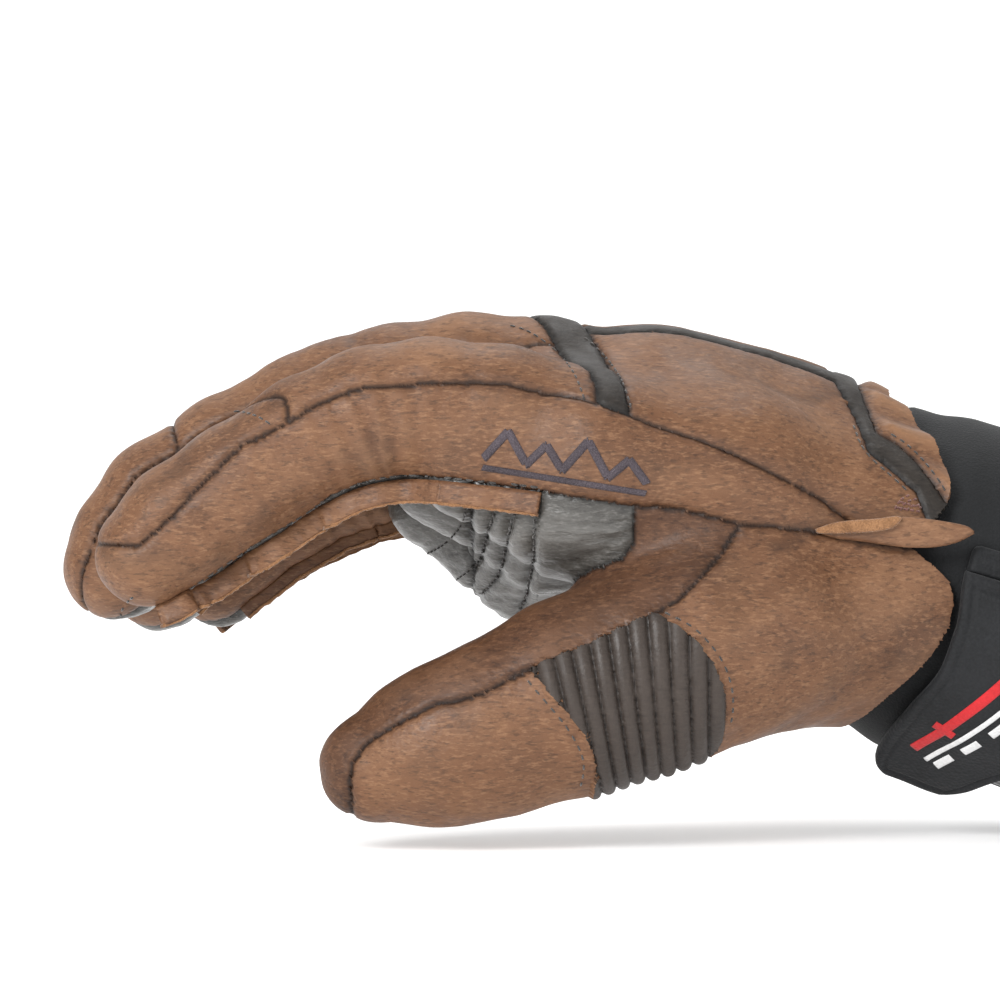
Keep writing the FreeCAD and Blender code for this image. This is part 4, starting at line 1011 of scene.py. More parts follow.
def tube_patch(name, s0, s1, p_out, p_in, ns, na, mat, wob, body="hand", lip=0.0):
    """Closed sleeve round the cuff's axis between two stations."""
    S = np.linspace(s0, s1, ns)
    Aa = np.arange(na) * 360.0 / na
    SS, AA = np.meshgrid(S, Aa, indexing="ij")
    w = wob(SS, AA)
    edge = np.minimum(SS - s0, s1 - SS)
    rnd = lip * (1 - np.sqrt(np.clip(1 - (1 - np.clip(edge / max(lip, 1e-6), 0, 1)) ** 2, 0, 1))) if lip else 0.0
    out = cuff_pt(SS, AA, p_out + w - rnd)
    inn = cuff_pt(SS, AA, p_in + w + rnd)
    V = np.concatenate([out.reshape(-1, 3), inn.reshape(-1, 3)])
    i, j = np.meshgrid(np.arange(ns - 1), np.arange(na), indexing="ij")
    i, j = i.ravel(), j.ravel()
    k = (j + 1) % na
    a, b, c_, d_ = i * na + j, i * na + k, (i + 1) * na + k, (i + 1) * na + j
    m = ns * na
    q1 = np.stack([a, b, c_, d_], 1)
    q2 = np.stack([a, d_, c_, b], 1) + m
    j = np.arange(na)
    k = (j + 1) % na
    q3 = np.stack([j, j + m, k + m, k], 1)
    l0 = (ns - 1) * na
    q4 = np.stack([l0 + j, l0 + k, l0 + k + m, l0 + j + m], 1)
    quads = np.concatenate([q1, q2, q3, q4])
    ob = mesh_object(name, V, [], fix_winding(V, quads), True, None)
    return finish_piece(ob, mat, body)


def fix_winding(V, quads):
    """Turns a closed quad mesh's faces outward."""
    a, b, c_, d_ = (V[quads[:, k]] for k in range(4))
    o = V.mean(0)
    vol = (np.cross(b - a, c_ - a) * (a - o)).sum() + (np.cross(c_ - a, d_ - a) * (a - o)).sum()
    return quads if vol > 0 else quads[:, ::-1].copy()


def cuff_wob(SS, AA):
    q = cuff_pt(SS, AA, 0).reshape(-1, 3)
    n = noise(q, (24, 22, 22), 31).reshape(SS.shape)
    fold = 1.1 * np.exp(-((SS + 43 - 10 * np.cos(np.radians(AA - 70))) / 5.0) ** 2) * (0.5 + 0.5 * np.cos(np.radians(AA - 60)))
    press = -0.6 * np.exp(-((SS + 63.5) / 4.0) ** 2)
    d = (AA + 180.0) % 360.0 - 180.0
    top = np.interp(SS, [-84, -76, -70, -56, -44, -20], [1.5, 3.8, 4.2, 1.7, 1.3, 0.0]) * np.exp(-((d + 8) / 27.0) ** 2)
    w_ = 0.7 * n + fold + press + top
    lp = leather_proud(SS, AA)
    near_ = smooth(-70, -79, SS)
    w_ = (1 - near_) * w_ + near_ * (lp - 1.5)
    hd = hem_field(q).reshape(SS.shape)
    return np.minimum(w_, lp - 1.45 + 9.0 * smooth(-2.5, 7, hd))


Q = 1
CUFF = tube_patch("cuff_shell", -95, -1.6, 0.0, -2.9, 120 // Q, 200 // Q, "neoprene", cuff_wob, lip=1.0)
CLIN = tube_patch("cuff_fleece", -94, -3.0, -3.55, -4.7, 90 // Q, 180 // Q, "fleece", lambda S, B: cuff_wob(S, B) + 0.16 * noise(cuff_pt(S, B, 0).reshape(-1, 3), 2.4, 33).reshape(S.shape), lip=0.5)
CBIND = tube_patch("cuff_edge_binding", -6.5, 0.0, 0.85, -5.0, 20 // Q, 180 // Q, "tape", lambda S, B: cuff_wob(S, B) * 0.7, lip=2.2)
ELAS = tube_patch("wrist_elastic_band", -67.2, -60.2, -2.95, -3.5, 16 // Q, 220 // Q, "tape", lambda S, B: cuff_wob(S, B) + 0.08 * np.sin(np.radians(B * 60)), lip=0.2)


def sheet_patch(name, s0, s1, a0, a1, p_out, p_in, ns, na, mat, body, proud=None, corner=(0, 0, 0, 0), edge_r=0.8, groove=None, tex=0.0, seed=40, wob=None):
    """A flat strip lying on the cuff, with round corners. s0 and s1 may be functions of the angle."""
    f0 = s0 if callable(s0) else (lambda a, v=s0: v + 0 * a)
    f1 = s1 if callable(s1) else (lambda a, v=s1: v + 0 * a)
    Aa = np.linspace(a0, a1, na)
    U = np.linspace(0, 1, ns)
    UU, AA = np.meshgrid(U, Aa, indexing="ij")
    arc = (AA - a0) * math.radians(1) * 42.0
    arc_end = (a1 - AA) * math.radians(1) * 42.0
    lo, hi = f0(AA), f1(AA)

    def inset(d, R):
        t = np.clip(R - d, 0, R)
        return R - np.sqrt(np.maximum(R * R - t * t, 0)) if R else 0 * d
    lo = lo + inset(arc, corner[0]) + inset(arc_end, corner[1])
    hi = hi - inset(arc, corner[2]) - inset(arc_end, corner[3])
    SS = lo + (hi - lo) * UU
    d = np.minimum(np.minimum(SS - lo, hi - SS), np.minimum(arc, arc_end))
    extra = proud(SS, AA) if proud else 0.0
    w = (wob if wob else cuff_wob)(SS, AA)
    rnd = edge_r * (1 - np.sqrt(np.clip(1 - (1 - np.clip(d / edge_r, 0, 1)) ** 2, 0, 1)))
    g = 0.0
    if groove:
        g = -groove[1] * np.exp(-((d - groove[0]) / 0.5) ** 2) + 0.25 * groove[1] * (d < groove[0])
    t = tex * noise(cuff_pt(SS, AA, 0).reshape(-1, 3), 1.3, seed).reshape(SS.shape) if tex else 0.0
    out = cuff_pt(SS, AA, p_out + w + extra - rnd + g + t)
    inn = cuff_pt(SS, AA, p_in + w + extra + 0.0 * rnd)
    V = np.concatenate([out.reshape(-1, 3), inn.reshape(-1, 3)])
    m = ns * na
    i, j = (x.ravel() for x in np.meshgrid(np.arange(ns - 1), np.arange(na - 1), indexing="ij"))
    a, b, c_, d_ = i * na + j, i * na + j + 1, (i + 1) * na + j + 1, (i + 1) * na + j
    quads = [np.stack([a, b, c_, d_], 1), np.stack([a, d_, c_, b], 1) + m]
    ring = np.concatenate([np.arange(na), np.arange(1, ns) * na + na - 1, (ns - 1) * na + np.arange(na - 2, -1, -1), np.arange(ns - 2, 0, -1) * na])
    nx = np.roll(ring, -1)
    quads.append(np.stack([nx, ring, ring + m, nx + m], 1))
    ob = mesh_object(name, V, [], fix_winding(V, np.concatenate(quads)), True, None)
    finish_piece(ob, mat, body)
    return ob, out.reshape(ns, na, 3), SS, AA


def strap_lift(S, B):
    return 3.6 * smooth(138, 164, B) + 0.5 * smooth(84, 96, B) * (1 - smooth(130, 150, B))


def strap_left(B):
    return -52.4 - 5.0 * smooth(108, 156, B) + 1.6 * smooth(84, 100, B) * (1 - smooth(112, 130, B))


def strap_right(B):
    return -12.0 - 25.0 * smooth(112, 166, B)


LOOP, _, _, _ = sheet_patch("loop_pad", -50, -14, 100, 164, 1.1, 0.0, 60 // Q, 90 // Q, "fleece", "hand", corner=(3, 3, 3, 3), edge_r=0.4, tex=0.35)
HOOK, _, _, _ = sheet_patch("hook_pad", -50.0, lambda B: -16.0 - 22.0 * smooth(112, 166, B), 108, 155, 2.6, 1.5, 50 // Q, 70 // Q, "tape", "strap", proud=strap_lift, corner=(3, 3, 3, 3), edge_r=0.4, tex=0.25, seed=41)
STRAP, SGRID, SSS, SAA = sheet_patch("strap_band", strap_left, strap_right, 83.2, 161.0, 5.1, 2.7, 90 // Q, 130 // Q, "strap", "strap", proud=strap_lift, corner=(0, 6.5, 0, 6.5), edge_r=1.15, groove=(2.6, 0.42))
ANCH, _, _, _ = sheet_patch("strap_anchor_tape", -51.8, -13.5, 74, 83.0, 2.6, 0.0, 50 // Q, 20 // Q, "strap", "hand", corner=(1.5, 0, 1.5, 0), edge_r=1.0, groove=(2.0, 0.3))


def strap_print(name, pts, width, mat):
    """A raised print lying on the strap, as a band between (s, angle) points."""
    rows = []
    pts = np.array(pts, float)
    n = 40
    t = np.linspace(0, len(pts) - 1, n)
    c_ = np.stack([np.interp(t, np.arange(len(pts)), pts[:, k]) for k in (0, 1)], 1)
    d = np.gradient(c_, axis=0) * np.array([1, 42 * math.radians(1)])
    d /= np.linalg.norm(d, axis=1)[:, None]
    nrm = np.stack([-d[:, 1], d[:, 0]], 1) * width / 2
    V, m = [], 7
    U = np.linspace(-1, 1, m)
    top, bot = [], []
    for u in U:
        q = c_ + nrm * u * np.array([1, 1 / (42 * math.radians(1))])
        e = 0.12 * (1 - u ** 6)
        w = cuff_wob(q[:, 0], q[:, 1]) + strap_lift(q[:, 0], q[:, 1])
        top.append(cuff_pt(q[:, 0], q[:, 1], 5.18 + w + e))
        bot.append(cuff_pt(q[:, 0], q[:, 1], 4.7 + w))
    V = np.concatenate([np.stack(top).reshape(-1, 3), np.stack(bot).reshape(-1, 3)])
    k = m * n
    i, j = (x.ravel() for x in np.meshgrid(np.arange(m - 1), np.arange(n - 1), indexing="ij"))
    a, b, e_, f_ = i * n + j, i * n + j + 1, (i + 1) * n + j + 1, (i + 1) * n + j
    ring = np.concatenate([np.arange(n), np.arange(1, m) * n + n - 1, (m - 1) * n + np.arange(n - 2, -1, -1), np.arange(m - 2, 0, -1) * n])
    nx = np.roll(ring, -1)
    quads = np.concatenate([np.stack([a, b, e_, f_], 1), np.stack([a, f_, e_, b], 1) + k, np.stack([nx, ring, ring + k, nx + k], 1)])
    ob = mesh_object(name, V, [], fix_winding(V, quads), True, None)
    return finish_piece(ob, mat, "strap")


PRINT = [strap_print("print_red_bar", [(-50.0, 144), (-42.5, 124), (-33, 100)], 2.4, "red"),
         strap_print("print_red_tick", [(-48.0, 131), (-43.0, 133)], 2.0, "red"),
         strap_print("print_white_bar", [(-46.5, 147), (-39.5, 129), (-30, 106)], 1.2, "white")]
for i, (s_, a_) in enumerate([(-42.6, 145), (-38.4, 135), (-34.2, 125), (-30, 115)]):
    PRINT.append(strap_print("print_white_block_%d" % i, [(s_ - 1.2, a_ + 2.6), (s_ + 1.2, a_ - 3.2)], 2.0, "white"))

# ------------------------------------------------------------------ stitches
BODY_TREE = BVHTree.FromPolygons([tuple(p) for p in Pd], [tuple(int(i) for i in f) for f in F])
EYE = Vector((0, -CAMD, 0))


def hit(px, py):
    d = Vector(((px - 500) / PX, CAMD, (500 - py) / PX)).normalized()
    loc, n, i, _ = BODY_TREE.ray_cast(EYE, d)
    if loc is None:
        return None
    if n.dot(d) > 0:
        n = -n
    return np.array(loc), np.array(n), i


def resample(poly, step):
    poly = np.asarray(poly, float)
    L = np.concatenate([[0], np.cumsum(np.linalg.norm(np.diff(poly, axis=0), axis=1))])
    n = max(2, int(round(L[-1] / step)) + 1)
    t = np.linspace(0, L[-1], n)
    return np.stack([np.interp(t, L, poly[:, k]) for k in range(poly.shape[1])], 1)


def curve(poly, step=1.0, passes=2):
    """A polyline rounded by corner cutting."""
    poly = np.asarray(poly, float)
    for _ in range(passes):
        a, b = poly[:-1] * 0.75 + poly[1:] * 0.25, poly[:-1] * 0.25 + poly[1:] * 0.75
        poly = np.concatenate([poly[:1], np.stack([a, b], 1).reshape(-1, poly.shape[1]), poly[-1:]])
    return resample(poly, step)


CAPS = []
for t, r in ((-1.0, 0.3), (-0.82, 0.8), (-0.4, 1.0), (0.4, 1.0), (0.82, 0.8), (1.0, 0.3)):
    for k in range(6):
        a = k * math.pi / 3
        CAPS.append((t, r * math.cos(a), r * math.sin(a)))
CAPS = np.array(CAPS)
CQ = []
for i in range(5):
    for k in range(6):
        CQ.append((i * 6 + k, i * 6 + (k + 1) % 6, (i + 1) * 6 + (k + 1) % 6, (i + 1) * 6 + k))
CQ = np.array(CQ)
CT = np.array([(0, k + 1, k) for k in range(1, 5)] + [(30, 30 + k, 31 + k) for k in range(1, 5)])


def threads(name, items, mat, length=1.9, rad=0.3, lift=0.12, dip=0.3):
    """items: (point, normal, direction, zone). One object for each zone."""
    by = {}
    for p, n, d, z in items:
        by.setdefault(z, []).append((p, n, d))
    made = []
    for z, its in sorted(by.items()):
        V, Qd, Tr = [], [], []
        for i, (p, n, d) in enumerate(its):
            d = d / max(np.linalg.norm(d), 1e-9)
            n = n - d * np.dot(n, d)
            n = n / max(np.linalg.norm(n), 1e-9)
            b = np.cross(n, d)
            up = CAPS[:, 1] * rad + lift - dip * CAPS[:, 0] ** 4
            V.append(p + d * (CAPS[:, 0] * length / 2)[:, None] + n * up[:, None] + b * (CAPS[:, 2] * rad)[:, None])
            Qd.append(CQ + i * 36)
            Tr.append(CT + i * 36)
        V = np.concatenate(V)
        ob = mesh_object("%s_%s" % (name, z), V, np.concatenate(Tr), np.concatenate(Qd), True, None)
        me = ob.data
        finish_piece(ob, mat, bend_of(z) if z != "strap" else "strap")
        made.append(ob)
    return made


def sew(name, px_line, mat="thread", pitch=2.6, length=1.8, rad=0.28, lift=0.1, zones=None, smooth_line=True):
    line = curve(px_line, 1.0) if smooth_line else resample(px_line, 1.0)
    pts = []
    for q in line:
        h = hit(*q)
        if h:
            pts.append((h[0], h[1], h[2], q))
    items, last, run = [], None, 0.0
    for a, b in zip(pts, pts[1:]):
        d = np.linalg.norm(b[0] - a[0])
        if d > 4.0:
            run = 0.0
            continue
        run += d
        if run >= pitch:
            run -= pitch
            items.append((a[0], a[1], b[0] - a[0], zone[a[2]]))
    return threads(name, items, mat, length, rad, lift) if items else []


STITCH = []
FL_ST = [(150, 614), (175.4, 600.8), (204, 581.6), (255, 546.6), (303, 518), (334.8, 495.5), (366.7, 482.8), (405, 476.4), (446.4, 479.6), (500, 486), (516.8, 487), (540, 490)]
STITCH += sew("stitch_flange", [(x, y - 2.5) for x, y in FL_ST])
STITCH += sew("stitch_thumb_tip", [(524, 676), (537, 692), (552, 709), (566, 726), (576, 742), (583, 757), (584, 773), (580, 788)], length=1.5, rad=0.22)
STITCH += sew("stitch_rib_edge", [(660, 609), (669, 615), (683, 621), (697, 630), (712, 646), (722, 660), (729, 676), (733, 694), (733, 712), (730, 728)], length=1.5, rad=0.22)
for i, pl in enumerate(PALM_LINES):
    STITCH += sew("stitch_palm_%d" % i, pl, pitch=1.9, length=1.35, rad=0.24, lift=0.25)
STITCH += sew("stitch_knuckle_a", [(505, 324), (530, 331), (556, 350), (574, 372), (582, 392), (584, 398)], length=1.5, rad=0.22, pitch=2.2)
STITCH += sew("stitch_knuckle_b", [(580, 334), (600, 350), (618, 372), (628, 396), (631, 408)], length=1.5, rad=0.22, pitch=2.2)
STITCH += sew("stitch_wrist_a", [(852, 422), (863, 452), (897, 481), (911, 495)], length=1.5, rad=0.22, pitch=2.2)
STITCH += sew("stitch_wrist_b", [(886, 431), (906, 443), (926, 463), (941, 483), (948, 496)], length=1.5, rad=0.22, pitch=2.2)
for i, row_ in enumerate([[(893, 513), (900, 499), (912, 494)], [(898, 514), (905, 502), (916, 499)], [(904, 514), (910, 506), (920, 505)], [(893, 507), (921, 512)], [(896, 501), (922, 508)]]):
    STITCH += sew("stitch_tack_%d" % i, row_, mat="tackthread", pitch=1.5, length=1.1, rad=0.24)
STITCH += sew("stitch_middle_tip", [(137, 593.5), (128, 601), (121.6, 608.8), (119.7, 623)], length=1.5)
STITCH += sew("stitch_index_cap", [(228, 412), (240, 411), (258, 416), (276, 428)], length=1.5, rad=0.22, pitch=2.2)

# ------------------------------------------------------------------ embroidered motif: two zigzag ridges in satin stitch
def satin(name, px_line, width, mat="motif"):
    items = []
    pts = [hit(*q) + (q,) for q in resample(px_line, 1.15)]
    for a, b in zip(pts, pts[1:]):
        t = b[0] - a[0]
        across = np.cross(a[1], t)
        across = across / np.linalg.norm(across) + 0.25 * t / np.linalg.norm(t)
        items.append((a[0], a[1], across, zone[a[2]]))
    return threads(name, items, mat, width, 0.22, 0.24, 0.25)


def slant(u, v):
    return (484 + 163 * u + 3 * (1 - v), 428 + 26 * u + 30 * v)


ZIG = [(0.0, 1.0), (0.13, 0.0), (0.26, 1.0), (0.37, 0.25), (0.48, 1.0), (0.62, -0.1), (0.76, 1.0), (0.88, 0.3), (1.0, 1.0)]
MOTIF = satin("motif_ridge", [slant(u, v) for u, v in ZIG], 2.0)
MOTIF += satin("motif_base", [slant(u, 1.32) for u in np.linspace(0.0, 1.0, 9)], 1.5)

# ------------------------------------------------------------------ raw-edged seam allowance along the palm side of each finger
def ribbon(name, base, out_dir, width, thick, mat, zone_name, rough=0.0, lift=0.0):
    """A leather band standing from a line of points along out_dir, with a rounded closed section."""
    base, out_dir = np.asarray(base, float), np.asarray(out_dir, float)
    n = len(base)
    t = np.gradient(base, axis=0)
    t /= np.linalg.norm(t, axis=1)[:, None]
    o = out_dir - t * (out_dir * t).sum(1)[:, None]
    o /= np.linalg.norm(o, axis=1)[:, None]
    s = np.cross(t, o)
    sec = [(0.0, -0.5), (0.25, -0.5), (0.5, -0.5), (0.75, -0.5), (0.93, -0.5), (1.0, -0.3), (1.0, 0.3), (0.93, 0.5), (0.75, 0.5), (0.5, 0.5), (0.25, 0.5), (0.0, 0.5)]
    m = len(sec)
    V = []
    for u, v in sec:
        w = width * (1 + 0.05 * noise(base, 5.0, 50) + rough * noise(base, 0.9, 51) * u)
        V.append(base + o * (u * w)[:, None] + s * ((v * thick + lift * u * u) + 0.35 * u * noise(base, 7.0, 52))[:, None])
    V = np.stack(V, 1).reshape(-1, 3)
    i, k = (x.ravel() for x in np.meshgrid(np.arange(n - 1), np.arange(m), indexing="ij"))
    k2 = (k + 1) % m
    quads = np.stack([i * m + k, i * m + k2, (i + 1) * m + k2, (i + 1) * m + k], 1)
    tris = np.array([(0, k, k + 1) for k in range(1, m - 1)] + [((n - 1) * m, (n - 1) * m + k + 1, (n - 1) * m + k) for k in range(1, m - 1)])
    me_v = V
    qa = V[quads]
    vol = 0.0
    ctr = V.mean(0)
    vol += (np.cross(qa[:, 1] - qa[:, 0], qa[:, 2] - qa[:, 0]) * (qa[:, 0] - ctr)).sum()
    if vol < 0:
        quads = quads[:, ::-1]
    first = np.cross(V[tris[0][1]] - V[tris[0][0]], V[tris[5][2]] - V[tris[0][0]])
    if np.dot(first, t[0]) > 0:
        tris = tris[:, ::-1]
    at = {"seam": np.full(len(V), 3.0), "relief": np.full(len(V), 0.5)}
    ob = mesh_object(name, V, tris, quads, True, None, at)
    return finish_piece(ob, mat, bend_of(zone_name))


def banded(name, pts, dirs, width, first_zone):
    """Cuts a seam allowance into the zones that it crosses, and gives each a brown band and a pale raw edge."""
    pts, dirs = np.asarray(pts), np.asarray(dirs)
    f = FING[first_zone]
    cuts = [9.0, f["z1"]]
    lab = [("hand", 9.0, 1e9), (first_zone + "_base", f["z1"], 9.0), (first_zone + "_end", -1e9, f["z1"])]
    made = []
    for z, lo, hi in lab:
        idx = np.where((pts[:, 0] >= lo) & (pts[:, 0] <= hi))[0]
        if len(idx) < 2:
            continue
        a, b = max(idx[0] - 1, 0), min(idx[-1] + 1, len(pts) - 1)
        seg, dr = pts[a:b + 1].copy(), dirs[a:b + 1]
        if len(seg) < 3:
            continue
        made.append(ribbon("%s_band_%s" % (name, z), seg, dr, width, 1.25, "tan", z, 0.0, -0.3))
        o = dr / np.linalg.norm(dr, axis=1)[:, None]
        made.append(ribbon("%s_raw_%s" % (name, z), seg + o * (width - 0.35), dr, 0.75, 1.35, "raw", z, 0.7, -0.3))
    return made


FLANGE = []
line = curve([(148, 617)] + [(x, y) for x, y in SEAM_LOW[1:10]] + [(520, 488), (542, 491.5)], 3.0)
pts, dirs = [], []
for q in line:
    h = None
    for dy in (1.5, -1.0, -4.0, -7.0):
        h = hit(q[0], q[1] + dy)
        if h is not None and -60 < h[0][1] < -30:
            break
        h = None
    if h is None:
        continue
    pts.append(h[0] + h[1] * 0.1)
    dirs.append(h[1])
pts = np.array(pts)
t = np.gradient(pts, axis=0)
down = np.cross(t, np.array([0, 1.0, 0]))
down *= np.sign(-down[:, 2])[:, None]
down /= np.linalg.norm(down, axis=1)[:, None]
for _ in range(14):
    pts[1:-1] = (pts[:-2] + pts[1:-1] * 2 + pts[2:]) / 4
FLANGE += banded("index_seam", pts, down + np.array([0, -0.10, 0]), 5.0, "index")


def finger_line(f, phi, off, s0, s1, step=1.2):
    """Points on a finger's skin at a fixed angle from its back."""
    c_ = np.array([(p[0], p[1]) for p in f["pts"]])
    r_ = np.array([p[2] for p in f["pts"]])
    L = np.concatenate([[0], np.cumsum(np.hypot(*np.diff(c_, axis=0).T))])
    S = np.arange(s0, min(s1, L[-1] + 6), step)
    X_, Z_, R_ = np.interp(S, L, c_[:, 0]), np.interp(S, L, c_[:, 1]), np.interp(S, L, r_)
    dx, dz = np.gradient(X_), np.gradient(Z_)
    ln = np.hypot(dx, dz)
    up = np.stack([dz / ln, 0 * dx, -dx / ln], 1)
    up *= np.sign(up[:, 2].mean())
    side = np.array([0, 1.0, 0])
    d = math.cos(phi) * up + math.sin(phi) * side
    start = np.stack([X_, np.full_like(X_, f["y"]), Z_], 1)
    pts = []
    for p, u in zip(start, d):
        loc, n, i, dist = BODY_TREE.ray_cast(Vector(p), Vector(u), 30.0)
        pts.append(np.array(loc) if loc is not None else None)
    ok = [i for i, p in enumerate(pts) if p is not None]
    return np.array([pts[i] for i in ok]), d[ok], -up[ok], S[ok]


for n_, f in FING.items():
    for side in ((-1,) if n_ != "index" else (1,)):
        L = sum(math.hypot(b[0] - a[0], b[1] - a[1]) for a, b in zip(f["pts"], f["pts"][1:]))
        pts, rad_, dn, S = finger_line(f, side * math.radians(152), 0, 26.0, L + 1)
        keep = pts[:, 0] < WEB
        pts, rad_, dn = pts[keep], rad_[keep], dn[keep]
        if len(pts) > 4:
            FLANGE += banded("%s_seam_%s" % (n_, "near" if side < 0 else "far"), pts - rad_ * 0.2, dn + rad_ * 0.1, 3.4, n_)
pts = []
for x, z in resample([q for q in FAR_LOW if q[0] < 6], 1.6):
    loc, nn, i, dist = BODY_TREE.ray_cast(Vector((x, 90, z)), Vector((0, -1, 0)), 80.0)
    if loc is not None and loc[1] > 20:
        pts.append(np.array(loc))
pts = np.array(pts)
t = np.gradient(pts, axis=0)
down = np.cross(t, np.array([0, 1.0, 0]))
down *= np.sign(-down[:, 2])[:, None]
down /= np.linalg.norm(down, axis=1)[:, None]
FLANGE += banded("little_seam_far", pts, down + np.array([0, 0.15, 0]), 3.4, "little")

# fingertips: a leaf for the cap's seam allowance below a tip, which this script does not call
def tip_tab(name, px_poly, depth, zone_name, thick=1.2, y_at=None):
    """A small leather leaf seen below a fingertip, cut to a px outline at one depth."""
    k = (CAMD + depth) / CAMD / PX
    pts = np.array([((x - 500) * k, (500 - y) * k) for x, y in px_poly])
    n = len(pts)
    V = np.concatenate([np.stack([pts[:, 0], np.full(n, depth - thick / 2), pts[:, 1]], 1), np.stack([pts[:, 0], np.full(n, depth + thick / 2), pts[:, 1]], 1)])
    ob = mesh_object(name, V, [], [], True)
    me = bpy.data.meshes.new(name)
    W = row(V)
    faces = [tuple(range(n)), tuple(range(2 * n - 1, n - 1, -1))] + [(i, i + n, (i + 1) % n + n, (i + 1) % n) for i in range(n)]
    me.from_pydata([tuple(w) for w in W], [], faces)
    me.validate()
    me.update()
    ob.data = me
    b = ob.modifiers.new("bevel", "BEVEL")
    b.width, b.segments, b.limit_method = 0.0003, 2, "ANGLE"
    return finish_piece(ob, "tan", bend_of(zone_name))


# ------------------------------------------------------------------ pull tab: a folded leaf with a pale raw edge and a slit
def leaf(name, top, bottom, y_fn, thick, mat, body, slit=None):
    """A leaf between two px edges, both sampled at the same stations."""
    n, m = 44, 10
    top, bottom = resample(curve(top, 1.0), 1.0), resample(curve(bottom, 1.0), 1.0)
    top = top[np.linspace(0, len(top) - 1, n).astype(int)]
    bottom = bottom[np.linspace(0, len(bottom) - 1, n).astype(int)]
    near_, far_ = [], []
    for i in range(n):
        for j in range(m):
            v = j / (m - 1)
            q = top[i] * (1 - v) + bottom[i] * v
            y = y_fn(i / (n - 1), v)
            k = (CAMD + y) / CAMD / PX
            p = np.array([(q[0] - 500) * k, y, (500 - q[1]) * k])
            e = min(v, 1 - v, i / (n - 1) * 4, (1 - i / (n - 1)) * 4)
            h = thick / 2 * math.sqrt(max(0.06, 1 - max(0, 1 - e / 0.16) ** 2))
            if slit and (abs(q[0] - slit[0]) / slit[2]) ** 2 + (abs(q[1] - slit[1]) / slit[3]) ** 2 < 1:
                h -= 0.5
            near_.append(p - np.array([0, h, 0]))
            far_.append(p + np.array([0, max(h, thick / 3), 0]))
    V = np.array(near_ + far_)
    V[:, 1] += 0.25 * noise(V, 4.0, 61)
    k = n * m
    i, j = (x.ravel() for x in np.meshgrid(np.arange(n - 1), np.arange(m - 1), indexing="ij"))
    a, b, c_, d_ = i * m + j, i * m + j + 1, (i + 1) * m + j + 1, (i + 1) * m + j
    ring = np.concatenate([np.arange(m), np.arange(1, n) * m + m - 1, (n - 1) * m + np.arange(m - 2, -1, -1), np.arange(n - 2, 0, -1) * m])
    nx = np.roll(ring, -1)
    quads = np.concatenate([np.stack([a, b, c_, d_], 1), np.stack([a, d_, c_, b], 1) + k, np.stack([nx, ring, ring + k, nx + k], 1)])
    ob = mesh_object(name, V, [], fix_winding(V, quads), True, None, {"seam": np.full(len(V), 3.0), "relief": np.full(len(V), 0.6)})
    return finish_piece(ob, mat, body)


ylow = -47.2
TAB = leaf("pull_tab_leaf", [(816, 530), (845, 523), (880, 519), (900, 516), (930, 519), (955, 523), (968, 526), (974, 531)],
           [(816, 533.5), (835, 539), (863, 541.5), (890, 546), (912, 548), (938, 547.5), (960, 542), (974, 534)],
           lambda u, v: ylow - 2.6 * math.sin(math.pi * min(u * 1.05, 1)) + 0.8 * v, 1.5, "tan", "pull_tab", slit=(914, 525.5, 6.5, 2.6))
TABR = leaf("pull_tab_fold_edge", [(815, 529), (834, 522), (858, 519.5), (880, 518.5), (896, 515.5), (901, 517)],
            [(817, 533.5), (835, 534), (858, 533), (880, 531.5), (895, 528), (902, 519)],
            lambda u, v: ylow - 1.3 - 2.7 * math.sin(math.pi * min(u * 0.62, 1)) - 0.4 * (1 - abs(2 * v - 1)), 1.1, "raw", "pull_tab")

# ------------------------------------------------------------------ hide the imported parts that the pieces above replace
rest = {}


def stand(piece, *nodes):
    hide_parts(*nodes)


def first(label, z=None):
    for o in MADE[label]:
        if z is None or o.name.endswith("_" + z):
            return o
    return MADE[label][0]


def on_body(label, body):
    """The piece of this panel whose name ends with the given name, or else its first piece."""
    for o in MADE[label]:
        if o.name.endswith(body):
            return o
    return MADE[label][0]


stand(on_body("side_panel", "hand"), "side_panel")
stand(MADE["knuckle_strip"][0], "knuckle_strip")
stand(MADE["wrist_strip"][0], "wrist_strip")
stand(MADE["back_panel"][0], "back_panel")
stand(MADE["outer_back_panel"][0], "outer_back_panel")
stand(on_body("heel_panel", "_hand"), "heel_panel")
stand(on_body("palm_panel", "_hand"), "palm_panel", "palm_patch")
stand(on_body("thenar_panel", "_hand"), "thenar_panel")
stand(MADE["gather_panel"][0], "gather_panel")
stand(LIN["hand"], "hand_lining", "thenar_lining")
stand(LIN["thumb_base"], "thumb_sleeve")
stand(LIN["thumb_end"], "thumb_tip_sleeve")
for n_ in FING:
    stand(LIN[n_ + "_base"], n_ + "_sleeve")
    stand(LIN[n_ + "_end"], n_ + "_tip_sleeve")
    stand(on_body(n_ + "_back", n_ + "_base"), n_ + "_back")
    stand(on_body(n_ + "_back", n_ + "_end"), n_ + "_mid_back")
    stand(on_body(n_ + "_gusset", n_ + "_base"), n_ + "_gussets")
    stand(on_body(n_ + "_gusset", n_ + "_end"), n_ + "_mid_under")
    stand(on_body(n_ + "_palm", n_ + "_base"), n_ + "_palm_side")
    stand(MADE[n_ + "_cap"][0], n_ + "_cap")
stand(on_body("thumb_rib_panel", "thumb_end"), "thumb_rib_panel")
stand(on_body("thumb_palm_side", "thumb_base"), "thumb_palm_side")
stand(MADE["thumb_tip_panel"][0], "thumb_tip_panel")
stand(on_body("thumb_palm_side", "thumb_end"), "thumb_tip_palm_side")
stand(CUFF, "cuff")
stand(CLIN, "cuff_lining")
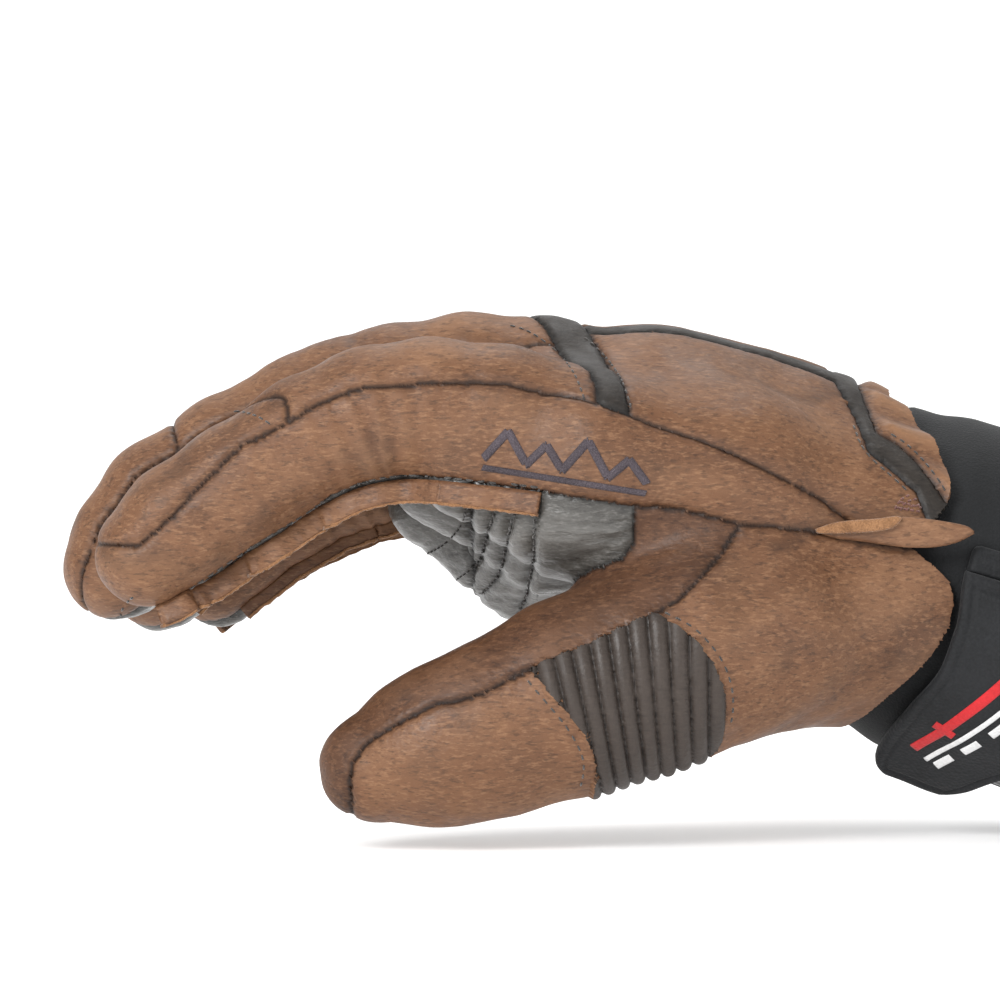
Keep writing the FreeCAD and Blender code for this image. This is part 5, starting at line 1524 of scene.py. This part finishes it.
stand(CBIND, "cuff_binding")
stand(ELAS, "wrist_elastic")
stand(LOOP, "loop_field")
stand(HOOK, "strap_hook")
stand(STRAP, "strap")
stand(ANCH, "strap_anchor")
stand(PRINT[0], "strap_badge")
stand(TAB, "pull_tab")

# ------------------------------------------------------------------ stage and light
lo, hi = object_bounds()
z0 = min(lo[2], BOX0[0][2]) - 0.0005
prof = []
for y in np.linspace(-2.2, 1.2, 8):
    prof.append((y, z0))
for a in np.linspace(0, math.pi / 2, 14)[1:]:
    prof.append((1.2 + 0.8 * math.sin(a), z0 + 0.8 * (1 - math.cos(a))))
for z in (1.4, 2.2, 3.0):
    prof.append((2.0, z0 + z))
V, Qd = [], []
for x in (-3.0, 3.0):
    V += [(x, y, z) for y, z in prof]
n = len(prof)
Qd = [(i, i + n, i + n + 1, i + 1) for i in range(n - 1)]
me = bpy.data.meshes.new("backdrop")
me.from_pydata(V, [], Qd)
for p_ in me.polygons:
    p_.use_smooth = True
back = bpy.data.objects.new("backdrop", me)
scene.collection.objects.link(back)
m, t_, bs = nt("backdrop_paper")
bs.inputs["Base Color"].default_value = (0.93, 0.93, 0.93, 1)
bs.inputs["Roughness"].default_value = 0.9
bs.inputs["Emission Color"].default_value = (1, 1, 1, 1)
bs.inputs["Emission Strength"].default_value = 0.34
me.materials.append(m)

w = bpy.data.worlds.new("studio")
scene.world = w
w.use_nodes = True
w.node_tree.nodes["Background"].inputs[0].default_value = (1, 1, 1, 1)
w.node_tree.nodes["Background"].inputs[1].default_value = 0.58
for nm, loc, e, sz in (("key", (-0.75, -1.05, 0.62), 17, 0.55), ("fill", (0.75, -1.2, 0.25), 4, 0.9), ("top", (-0.1, 0.35, 1.2), 6, 0.8)):
    l = bpy.data.lights.new(nm, "AREA")
    l.energy, l.size = e, sz
    o = bpy.data.objects.new(nm, l)
    scene.collection.objects.link(o)
    o.location = loc
    o.rotation_euler = (Vector((-0.05, 0, 0.02)) - Vector(loc)).to_track_quat("-Z", "Y").to_euler()
